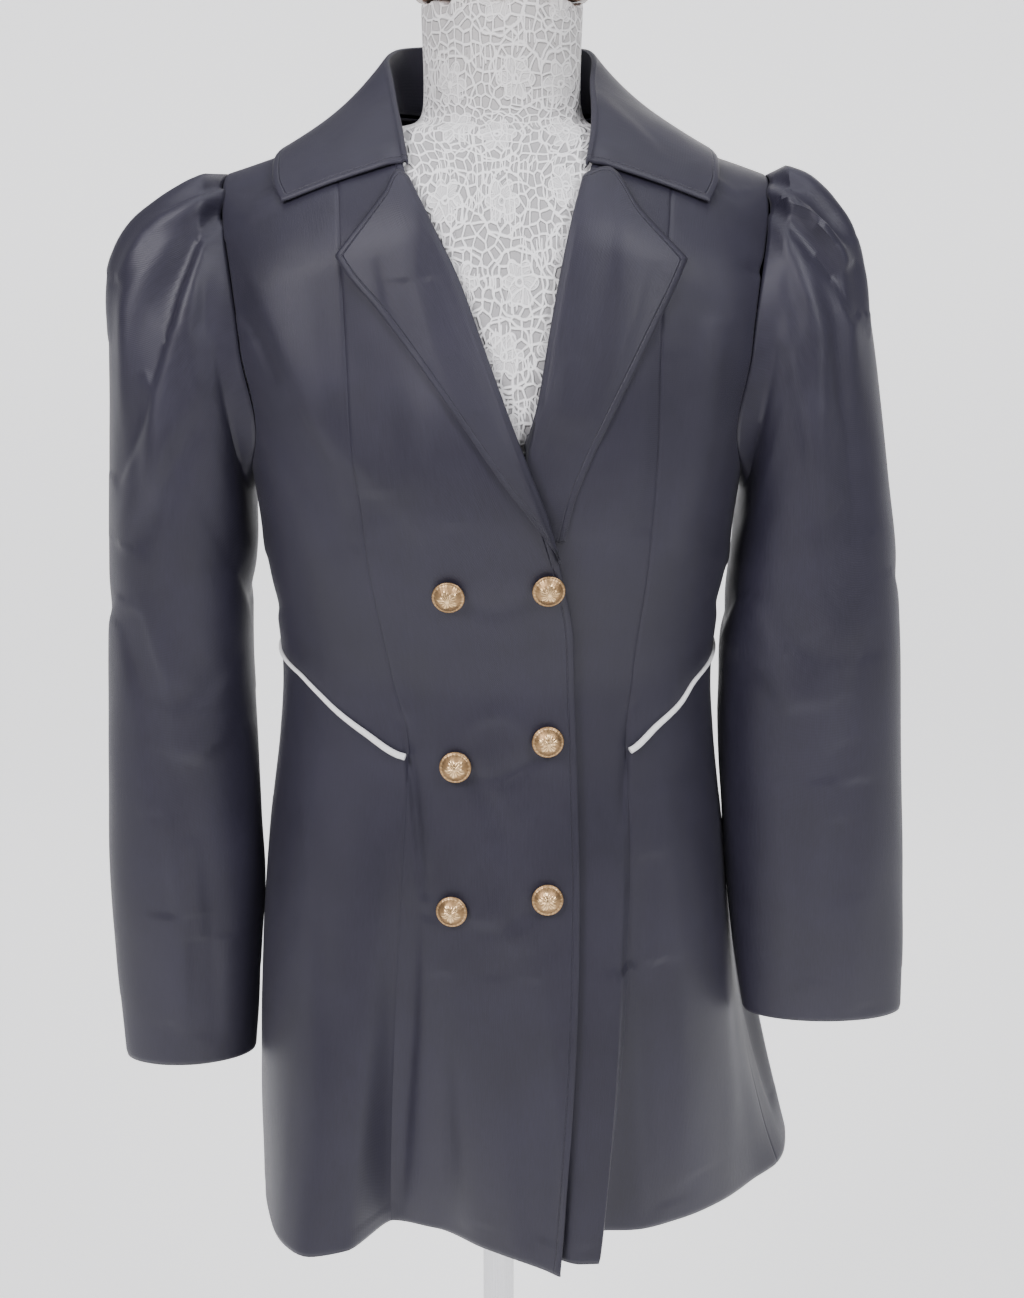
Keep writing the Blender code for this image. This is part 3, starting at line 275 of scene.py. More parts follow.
# white lace over jersey: a net of threads, flowers on a loose grid, and ribbed leaves round them
def lacePaint():
    paint = Paint("laceCover", 0.85, **{"Sheen Weight": 0.2})
    spot = paint.cut()
    patch = paint.grain(spot, laceWork["leafPatch"], 1.0)
    wander = paint.node("ShaderNodeTexNoise", values={"Vector": spot, "Scale": laceWork["stirScale"]},
                        output=1)
    stir = paint.node("ShaderNodeVectorMath", {"operation": "SCALE"}, {0: wander, "Scale": laceWork["stir"]})
    spot = paint.node("ShaderNodeVectorMath", {"operation": "ADD"}, {0: spot, 1: stir})
    cells = {"voronoi_dimensions": "2D", "feature": "DISTANCE_TO_EDGE"}
    net = paint.node("ShaderNodeTexVoronoi", cells,
                     {"Vector": spot, "Scale": 1 / laceWork["net"], "Randomness": laceWork["netScatter"]})
    net = (net * laceWork["net"]).step(laceWork["thread"] * 1.6, laceWork["thread"] * 0.5)
    scattered = {"Vector": spot, "Scale": 1 / laceWork["flowerGap"], "Randomness": laceWork["flowerScatter"]}
    home = paint.node("ShaderNodeTexVoronoi", {"voronoi_dimensions": "2D", "feature": "F1"}, scattered,
                      "Position")
    arm = paint.node("ShaderNodeVectorMath", {"operation": "SUBTRACT"}, {0: spot, 1: home})
    parts = paint.node("ShaderNodeSeparateXYZ", values={0: arm})
    up = Wire(paint, parts.socket.node.outputs[1])
    turn = up.join("ARCTAN2", parts)
    reach = paint.node("ShaderNodeVectorMath", {"operation": "LENGTH"}, {0: arm}, "Value")
    petal = (turn * (laceWork["petals"] / 2)).join("COSINE").join("ABSOLUTE")
    outline = laceWork["flower"] * (0.62 + 0.38 * petal)
    inside = (reach - outline).step(laceWork["cord"], -laceWork["cord"])
    edge = (reach - outline).join("ABSOLUTE").step(laceWork["cord"] * 1.5, laceWork["cord"] * 0.3)
    eye = (reach - laceWork["eye"]).join("ABSOLUTE").step(laceWork["cord"] * 1.4, laceWork["cord"] * 0.3)
    vein = (turn * laceWork["veins"] + reach * 600.0).join("COSINE").step(0.1, 0.9)
    ripple = (turn * laceWork["scallops"]).join("COSINE") * laceWork["scallopRise"]
    scallop = (reach - laceWork["flower"] * laceWork["scallop"] - ripple).join("ABSOLUTE")
    scallop = scallop.step(laceWork["cord"] * 1.6, laceWork["cord"] * 0.4)
    leaf = paint.wave(spot, laceWork["leafRib"]).step(0.55, 0.85) * patch.step(0.53, 0.56)
    solid = inside * (0.55 + vein * 0.3)
    height = net.join("MAXIMUM", solid).join("MAXIMUM", edge).join("MAXIMUM", eye * 1.1)
    height = height.join("MAXIMUM", scallop).join("MAXIMUM", leaf)
    shade = paint.blend(height, laceWork["jersey"], laceWork["lace"])
    level = paint.node("ShaderNodeSeparateXYZ", values={0: paint.place()})
    level = Wire(paint, level.socket.node.outputs[2]).step(laceWork["neckFrom"], laceWork["neckFull"])
    paint.feed("Base Color", paint.blend(level * 0.35, shade, laceWork["neck"]))
    paint.relief(height, laceWork["relief"])
    return paint.material


standLook = {
    "woodLow": (0.17, 0.085, 0.05), "woodHigh": (0.36, 0.2, 0.13),
    "steelLow": (0.55, 0.55, 0.56), "steelHigh": (0.72, 0.72, 0.73),
    "enamelLow": (0.74, 0.74, 0.73), "enamelHigh": (0.82, 0.82, 0.81),
    "figure": 0.006, "pores": 0.0008, "poreDepth": 0.0001, "drawn": 0.0011,
    "peel": 0.003, "peelDepth": 0.00008, "dust": 0.05,
}


# reddish wood of the cap, its figure drawn out along one axis
def woodPaint():
    paint = Paint("capWood", 0.4, **{"Coat Weight": 0.3})
    figure = paint.grain(paint.place((1.0, 0.12, 1.0)), standLook["figure"], 5.0, 0.6)
    pores = paint.grain(paint.place((1.0, 0.05, 1.0)), standLook["pores"], 2.0)
    paint.feed("Base Color", paint.blend(figure.step(0.3, 0.7), standLook["woodLow"], standLook["woodHigh"]))
    paint.feed("Roughness", 0.32 + pores * 0.2)
    paint.relief(pores, standLook["poreDepth"])
    return paint.material


# drawn steel tube
def steelPaint():
    paint = Paint("poleSteel", 0.22, 1.0)
    drawn = paint.grain(paint.place((1.0, 1.0, 0.02)), standLook["drawn"], 3.0)
    paint.feed("Base Color", paint.blend(drawn, standLook["steelLow"], standLook["steelHigh"]))
    paint.feed("Roughness", 0.16 + drawn * 0.18)
    return paint.material


# dusty white enamel
def enamelPaint():
    paint = Paint("baseEnamel", 0.35)
    peel = paint.grain(paint.place(), standLook["peel"], 2.0)
    dust = paint.grain(paint.place(), standLook["dust"], 4.0)
    paint.feed("Base Color", paint.blend(dust, standLook["enamelLow"], standLook["enamelHigh"]))
    paint.feed("Roughness", 0.28 + dust * 0.18)
    paint.relief(peel, standLook["peelDepth"])
    return paint.material


suiting = twillPaint("suiting", "outer")
underside = twillPaint("suitingInside", "inner")
gilt = giltPaint()
lace = lacePaint()
print("materials made")


# A crease is a soft ridge (positive) or trough (negative) along a line of (across, height) points.
# It is steeper on its lower side, and shows where the cloth faces its view, a side of the wearer.
Crease = namedtuple("Crease", "rise width points")
views = {
    "front": (Vector((0, -1, 0)), 0), "back": (Vector((0, 1, 0)), 0),
    "right": (Vector((-1, 0, 0)), 1), "left": (Vector((1, 0, 0)), 1),
}
# widths below and above a crease's line, how soon it shows, and how it fades out at its ends
creasing = {"below": 0.5, "above": 1.35, "facing": 2.5, "start": 0.08, "span": 0.84, "fade": 0.7}


# rise of one crease at points seen flat in its view
def creaseRise(crease, flat):
    line = np.array(crease.points)
    lengths = np.linalg.norm(np.diff(line, axis=0), axis=1)
    nearest = np.full(len(flat), np.inf)
    shares = np.zeros(len(flat))
    steep = np.zeros(len(flat), dtype=bool)
    run = 0.0
    for start, end, length in zip(line[:-1], line[1:], lengths):
        along = np.clip((flat - start) @ (end - start) / length ** 2, 0.0, 1.0)
        offset = flat - start - along[:, None] * (end - start)
        away = np.linalg.norm(offset, axis=1)
        closer = away < nearest
        nearest = np.where(closer, away, nearest)
        steep = np.where(closer, offset[:, 1] < 0.0, steep)
        shares = np.where(closer, (run + along * length) / lengths.sum(), shares)
        run += length
    taper = np.sin(math.pi * (creasing["start"] + creasing["span"] * shares)) ** creasing["fade"]
    width = crease.width * np.where(steep, creasing["below"], creasing["above"])
    return crease.rise * taper * np.exp(-(nearest / width) ** 2)


# rise of all the creases at points with normals
def creaseField(places, normals, creases):
    total = np.zeros(len(places))
    for view, rows in creases.items():
        facing, axis = views[view]
        seen = np.clip(normals @ np.array(facing) * creasing["facing"], 0.0, 1.0)
        for crease in rows:
            total += seen * creaseRise(crease, places[:, [axis, 2]])
    return total


# crowds the columns of a grid towards its edges, where seams and turned edges need them
def crowd(share, strength):
    return share - strength * math.sin(2 * math.pi * share) / (2 * math.pi)


# shares across and down for each vertex of a grid; panels run a little under each other at their seams
def gridShares(shape, flat, spread, lapped):
    sizes = {"left": flat[0], "right": flat[0], "top": flat[1], "bottom": flat[1]}
    under = {edge: cloth["seamLap"] / sizes[edge] if edge in lapped else 0.0 for edge in edgeNames}
    shares = []
    for vert in shape.verts:
        across = crowd(vert.co.x + 0.5, spread[0])
        down = crowd(0.5 - vert.co.y, spread[1])
        across += under["right"] * across - under["left"] * (1 - across)
        down += under["bottom"] * down - under["top"] * (1 - down)
        shares.append((across, down))
    return shares


# distance of each grid point from the four edges, along the cloth
def edgeReach(shape, rows, columns):
    grid = np.array([vert.co for vert in shape.verts]).reshape(rows, columns, 3)
    acrossRuns = np.linalg.norm(np.diff(grid, axis=1), axis=2).cumsum(axis=1)
    acrossRuns = np.concatenate((np.zeros((rows, 1)), acrossRuns), axis=1)
    downRuns = np.linalg.norm(np.diff(grid, axis=0), axis=2).cumsum(axis=0)
    downRuns = np.concatenate((np.zeros((1, columns)), downRuns), axis=0)
    # create_grid lists its rows from the bottom, so the first row is the lower edge
    return {"left": acrossRuns, "right": acrossRuns[:, -1:] - acrossRuns,
            "bottom": downRuns, "top": downRuns[-1:] - downRuns}


# how deep the cloth sinks towards its seams and edges, and how far it is from a stitched edge
def edgeSink(reach, kinds, stitched):
    sunk = np.zeros(reach["left"].shape)
    rim = np.full(sunk.shape, 1.0)
    for edge, kind in kinds.items():
        if kind == "seam":
            sunk += cloth["seamDepth"] * np.exp(-(reach[edge] / cloth["seamWidth"]) ** 2)
        elif kind == "free":
            sunk += cloth["edgeDepth"] * np.exp(-(reach[edge] / cloth["edgeWidth"]) ** 2)
            if edge in stitched:
                rim = np.minimum(rim, reach[edge])
    return sunk, rim


# moves the cloth along its normals: creases out and in, seams in, and a little slack everywhere
def dressCloth(shape, sinkLayer, creases, slack):
    shape.normal_update()
    places = np.array([vert.co for vert in shape.verts])
    normals = np.array([vert.normal for vert in shape.verts])
    rise = creaseField(places, normals, creases)
    for vert, lift, normal in zip(shape.verts, rise, normals):
        spot = vert.co / cloth["slackSize"]
        spot.z *= cloth["slackStretch"]
        wander = noise.noise(spot) + 0.5 * noise.noise(spot * 2.3 + Vector((7.0, 3.0, 1.0)))
        move = lift + wander * cloth["slack"] * slack - vert[sinkLayer]
        vert.co += Vector(normal) * move


# turns a bmesh into an object at the origin, smooth shaded
def finish(name, shape, materials, sharp=50.0):
    mesh = bpy.data.meshes.new(name)
    shape.to_mesh(mesh)
    shape.free()
    for material in materials:
        mesh.materials.append(material)
    mesh.shade_smooth()
    mesh.set_sharp_from_angle(angle=math.radians(sharp))
    made = bpy.data.objects.new(name, mesh)
    bpy.context.scene.collection.objects.link(made)
    return made


# hides a piece's solid and ties the piece to the body that it moves with
def standFor(made, node):
    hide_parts(node)
    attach(made, "root")


pieceSizes = {}


# A cloth shell: a grid laid on its solid's face by place(across, down), then creased and given its thickness.
# Edges are named left, right, top and bottom as seen on the grid: seam, free or none.
def clothPiece(name, node, place, cells, flat, area, creases, flip=False, closed=False,
               edges="seam seam seam free", slack=1.0, spread=(0.75, 0.0), lapped=(),
               stitched=()):
    shape = bmesh.new()
    cut = shape.loops.layers.uv.new("cut")
    sinkLayer = shape.verts.layers.float.new("sink")
    rimLayer = shape.verts.layers.float.new("rim")
    bmesh.ops.create_grid(shape, x_segments=cells[0], y_segments=cells[1], size=0.5)
    shape.verts.ensure_lookup_table()
    shares = gridShares(shape, flat, spread, lapped)
    for face in shape.faces:
        for loop in face.loops:
            across, down = shares[loop.vert.index]
            loop[cut].uv = (across * flat[0], -down * flat[1])
    for vert, (across, down) in zip(shape.verts, shares):
        vert.co = place(across, down)
    reach = edgeReach(shape, cells[1] + 1, cells[0] + 1)
    sunk, rim = edgeSink(reach, dict(zip(edgeNames, edges.split())), stitched)
    for vert, depth, away in zip(shape.verts, sunk.ravel(), rim.ravel()):
        vert[sinkLayer] = depth
        vert[rimLayer] = away
    if flip:
        bmesh.ops.reverse_faces(shape, faces=shape.faces)
    if closed:
        bmesh.ops.remove_doubles(shape, verts=shape.verts, dist=cloth["merge"])
    dressCloth(shape, sinkLayer, creases, slack)
    measured = sum(face.calc_area() for face in shape.faces)
    made = finish(name, shape, [suiting, underside])
    wall = made.modifiers.new("cloth wall", "SOLIDIFY")
    wall.thickness = cloth["thick"]
    wall.offset = -1.0
    wall.material_offset = 1
    standFor(made, node)
    widest = reach["left"][:, -1].max()
    longest = reach["bottom"][-1].max()
    pieceSizes[name] = [round(float(size), 3) for size in (widest, longest, measured)]


# Cut of the body, as in its solids: rows of the grid, neck, shoulder and armhole, in metres and degrees
roundRows = 4
bodiceRows = 11
skirtRows = 9
neckX = 0.070
neckHeight = 1.396
shoulderX = 0.192
shoulderHeight = 1.3565
shoulderY = 0.015
shoulderRound = 0.090
napeHeight = 1.395
crestRound = 0.012
underarmHeight = 1.142
armholeTurnFront = 62.0
armholeTurnBack = 66.0
armholeBend = 0.070
squareness = 2.3
# spans over which armholes and seams ease into the lines below them, and the top of the lap's own direction
armholeFade = 0.11
seamFade = (0.01, 0.06)
lapTurnTop = 1.34
# small steps along the body, to find the direction that it faces
angleStep = 0.3
turnStep = 0.5
heightStep = 0.001
shoulderRun = math.hypot(shoulderX, crestRound) - math.hypot(neckX, crestRound)
shoulderFall = (neckHeight - shoulderHeight) / shoulderRun

# How the over front laps the under front: rise, angles between which it rises, top, and both front edges
overlap = {"rise": 0.0062, "from": -19.0, "full": -11.0, "top": 1.260, "fade": 0.09, "edge": 17.0,
           "underEdge": -9.0}

Ring = namedtuple("Ring", "height halfWidth front back")
ringRows = [
    Ring(0.560, 0.190, 0.134, 0.138),
    Ring(0.700, 0.184, 0.128, 0.130),
    Ring(0.800, 0.178, 0.120, 0.120),
    Ring(0.880, 0.171, 0.113, 0.107),
    Ring(0.950, 0.163, 0.106, 0.092),
    Ring(1.000, 0.160, 0.105, 0.086),
    Ring(1.040, 0.163, 0.110, 0.090),
    Ring(1.100, 0.171, 0.122, 0.100),
    Ring(1.140, 0.176, 0.129, 0.106),
    Ring(1.170, 0.181, 0.131, 0.110),
    Ring(1.200, 0.188, 0.130, 0.112),
    Ring(1.240, 0.197, 0.125, 0.113),
    Ring(1.300, 0.201, 0.114, 0.112),
    Ring(1.360, 0.205, 0.100, 0.106),
    Ring(1.450, 0.205, 0.098, 0.104),
]

# Where the hem hangs, round from centre back, and how late its folds take over from the hips
Hem = namedtuple("Hem", "angle x y height late", defaults=(1.7,))
hemRows = [
    Hem(-191, 0.042, 0.166, 0.583),
    Hem(-180, 0.000, 0.150, 0.585),
    Hem(-168, -0.036, 0.165, 0.583),
    Hem(-158, -0.072, 0.148, 0.586),
    Hem(-146, -0.110, 0.153, 0.583),
    Hem(-133, -0.143, 0.114, 0.586),
    Hem(-118, -0.173, 0.098, 0.585),
    Hem(-104, -0.188, 0.050, 0.585),
    Hem(-90, -0.188, 0.000, 0.587),
    Hem(-72, -0.182, -0.052, 0.585),
    Hem(-56, -0.171, -0.102, 0.582),
    Hem(-44, -0.158, -0.130, 0.580),
    Hem(-34, -0.138, -0.145, 0.580),
    Hem(-26, -0.110, -0.136, 0.582),
    Hem(-19, -0.078, -0.094, 0.587),
    Hem(-12, -0.049, -0.094, 0.586),
    Hem(0, -0.008, -0.117, 0.583),
    Hem(12, 0.036, -0.140, 0.578),
    Hem(22, 0.060, -0.153, 0.574),
    Hem(29, 0.073, -0.153, 0.572),
    Hem(32, 0.077, -0.108, 0.586),
    Hem(42, 0.104, -0.104, 0.586),
    Hem(54, 0.142, -0.085, 0.585),
    Hem(66, 0.178, -0.055, 0.582, 2.8),
    Hem(78, 0.205, -0.022, 0.580, 4.2),
    Hem(90, 0.227, 0.006, 0.578, 4.2),
    Hem(98, 0.238, 0.030, 0.575, 3.6),
    Hem(107, 0.242, 0.062, 0.575, 1.9),
    Hem(119, 0.198, 0.112, 0.582),
    Hem(132, 0.153, 0.122, 0.586),
    Hem(146, 0.121, 0.157, 0.583),
    Hem(159, 0.076, 0.148, 0.586),
    Hem(169, 0.042, 0.166, 0.583),
    Hem(180, 0.000, 0.150, 0.585),
    Hem(192, -0.036, 0.165, 0.583),
]

# Height of the curved waist seam round the body
Waist = namedtuple("Waist", "angle height")
waistRows = [
    Waist(-180, 1.034), Waist(-150, 1.032), Waist(-120, 1.026), Waist(-90, 1.018), Waist(-75, 1.014),
    Waist(-61, 1.008), Waist(-51, 0.998), Waist(-41, 0.985), Waist(-32, 0.9735), Waist(-20, 0.9584),
    Waist(0, 0.955), Waist(20, 0.955), Waist(32, 0.960), Waist(42, 0.9755), Waist(53, 0.989),
    Waist(61, 1.002), Waist(75, 1.011), Waist(90, 1.018), Waist(120, 1.026), Waist(150, 1.032),
    Waist(180, 1.034),
]

# Seams and edges on the front and back, by height
Line = namedtuple("Line", "height x")
princessRight = [
    Line(0.957, -0.0630), Line(1.020, -0.0740), Line(1.100, -0.0880), Line(1.180, -0.0955),
    Line(1.250, -0.0999), Line(1.330, -0.1041), Line(1.385, -0.1100),
]
princessLeft = [
    Line(0.957, 0.0935), Line(1.020, 0.0970), Line(1.100, 0.1060), Line(1.180, 0.1104),
    Line(1.270, 0.1110), Line(1.330, 0.1170), Line(1.385, 0.1220),
]
princessBack = [
    Line(1.032, 0.0750), Line(1.100, 0.0850), Line(1.200, 0.0980), Line(1.300, 0.1050),
    Line(1.385, 0.1160),
]
overEdgeRows = [
    Line(0.957, 0.0544), Line(1.047, 0.0524), Line(1.095, 0.0438), Line(1.110, 0.0400),
    Line(1.155, 0.0256), Line(1.204, 0.0060), Line(1.258, -0.0141), Line(1.306, -0.0328),
    Line(1.340, -0.0522), Line(1.366, -0.0626), Line(1.396, -0.0700),
]
underEdgeRows = [
    Line(0.957, -0.0300), Line(1.060, -0.0240), Line(1.100, -0.0100), Line(1.140, 0.0080),
    Line(1.172, 0.0215), Line(1.200, 0.0289), Line(1.244, 0.0360), Line(1.280, 0.0427),
    Line(1.318, 0.0507), Line(1.348, 0.0585), Line(1.369, 0.0660), Line(1.396, 0.0700),
]


# height of the shoulder line at a distance from centre
def crest(x):
    return neckHeight - (math.hypot(x, crestRound) - math.hypot(neckX, crestRound)) * shoulderFall


# angle at which the body's ring has a given x
def angleAt(x, height, behind=False):
    halfWidth = smooth(ringRows, "height", "halfWidth", height)
    share = min(abs(x) / halfWidth, 1.0) ** (squareness / 2)
    turn = math.degrees(math.asin(share))
    if behind:
        turn = 180.0 - turn
    return math.copysign(turn, x)


# height of the waist seam at an angle
def waistHeight(angle):
    return smooth(waistRows, "angle", "height", angle)


# point of the plain body ring, rounded off towards the shoulder line
def ringPoint(angle, height):
    halfWidth = smooth(ringRows, "height", "halfWidth", height)
    sine = math.sin(math.radians(angle))
    cosine = math.cos(math.radians(angle))
    x = halfWidth * math.copysign(abs(sine) ** (2 / squareness), sine)
    side = "front" if cosine > 0 else "back"
    depth = smooth(ringRows, "height", side, height)
    y = -depth * math.copysign(abs(cosine) ** (2 / squareness), cosine)
    share = min(max((crest(x) - height) / shoulderRound, 0.0), 1.0)
    y = shoulderY + (y - shoulderY) * math.sqrt(1 - (1 - share) ** 2)
    return Vector((x, y, height))


# point of the jacket's outer face: the ring, drawn out to the hem's folds
def bodyPoint(angle, height):
    point = ringPoint(angle, height)
    waist = waistHeight(angle)
    if height < waist:
        hem = smooth(hemRows, "angle", "height", angle)
        pull = ((waist - height) / (waist - hem)) ** smooth(hemRows, "angle", "late", angle)
        point.x = mix(point.x, smooth(hemRows, "angle", "x", angle), pull)
        point.y = mix(point.y, smooth(hemRows, "angle", "y", angle), pull)
    return point


# outward direction of the jacket's face, away from the shoulder line
def bodyNormal(angle, height):
    across = bodyPoint(angle + angleStep, height) - bodyPoint(angle - angleStep, height)
    up = bodyPoint(angle, height + heightStep) - bodyPoint(angle, height - heightStep)
    return across.cross(up).normalized()


# height of a row: close together over the shoulder, then even to waist and hem
def rowHeight(row, top, waist, hem):
    if row <= roundRows:
        turn = math.pi / 2 * row / roundRows
        return top - shoulderRound * (1 - math.cos(turn))
    if row <= bodiceRows:
        share = (row - roundRows) / (bodiceRows - roundRows)
        return mix(top - shoulderRound, waist, share)
    return mix(waist, hem, (row - bodiceRows) / skirtRows)


# height of a panel's top edge: the shoulder line, or the neckline between its ends
def topLine(x):
    if abs(x) >= neckX:
        return crest(x)
    return mix(napeHeight, neckHeight, (x / neckX) ** 2)


# angle and height of a seam or edge at a row, from the shoulder down
@lru_cache(maxsize=None)
def edgeAngle(edge, row):
    waist = waistHeight(edge.waistAngle)
    hem = smooth(hemRows, "angle", "height", edge.waistAngle)
    height = rowHeight(row, topLine(edge.topX), waist, hem)
    return edge.angle(height), height


# a seam or edge from the shoulder line to the hem; its angle comes from a function of height
Edge = namedtuple("Edge", "topX waistAngle angle")


# edge that follows a table of x by height, and keeps one angle below it
def lineEdge(rows, mirror=False, behind=False, lowerAngle=None):
    sign = -1.0 if mirror else 1.0
    lowest = rows[0].height
    waistAngle = lowerAngle
    if waistAngle is None:
        waistAngle = angleAt(sign * rows[0].x, lowest, behind)

    def angle(height):
        x = sign * smooth(rows, "height", "x", height)
        here = angleAt(x, max(height, lowest), behind)
        return mix(waistAngle, here, ease(lowest - seamFade[0], lowest + seamFade[1], height))

    return Edge(sign * rows[-1].x, waistAngle, angle)


# the armhole down to the underarm, then the side seam
def armholeEdge(sign, behind):
    topTurn = abs(angleAt(shoulderX, shoulderHeight))
    narrowTurn = armholeTurnBack if behind else armholeTurnFront
    bendHeight = underarmHeight + armholeBend

    def angle(height):
        turn = mix(topTurn, narrowTurn, ease(shoulderHeight, shoulderHeight - armholeFade, height))
        if height < bendHeight:
            share = min((bendHeight - height) / armholeBend, 1.0)
            turn = mix(turn, 90.0, share ** 3)
        if behind:
            turn = 180.0 - turn
        return sign * turn

    return Edge(sign * shoulderX, sign * 90.0, angle)


# the centre back seam, as the edge of its right or left panel
def centreBackEdge(sign):
    return Edge(0.0, sign * 180.0, lambda height: sign * 180.0)


# map of a panel from (across, down) shares to a point
def panelMap(first, second, topRow, bottomRow, lap=None):
    def point(across, down):
        row = mix(topRow, bottomRow, down)
        angleA, heightA = edgeAngle(first, row)
        angleB, heightB = edgeAngle(second, row)
        angle = mix(angleA, angleB, across)
        height = mix(heightA, heightB, across)
        if row < roundRows:
            start = mix(edgeAngle(first, 0)[0], edgeAngle(second, 0)[0], across)
            straight = mix(topLine(first.topX), topLine(second.topX), across)
            top = topLine(ringPoint(start, straight).x)
            height += (top - straight) * (1 - ease(0, roundRows, row))
        seamA, seamB = edgeAngle(first, bodiceRows), edgeAngle(second, bodiceRows)
        bend = waistHeight(mix(seamA[0], seamB[0], across)) - mix(seamA[1], seamB[1], across)
        if row < bodiceRows:
            height += bend * ease(roundRows, bodiceRows, row)
        else:
            height += bend * (1 - (row - bodiceRows) / skirtRows)
        place = bodyPoint(angle, height)
        if lap is not None:
            place += bodyNormal(angle, min(height, lapTurnTop)) * lap(angle, height)
        return place

    return point


# how far the over front stands out where it laps the under front
def lapOut(angle, height):
    across = ease(overlap["from"], overlap["full"], angle)
    return overlap["rise"] * across * ease(overlap["top"], overlap["top"] - overlap["fade"], height)


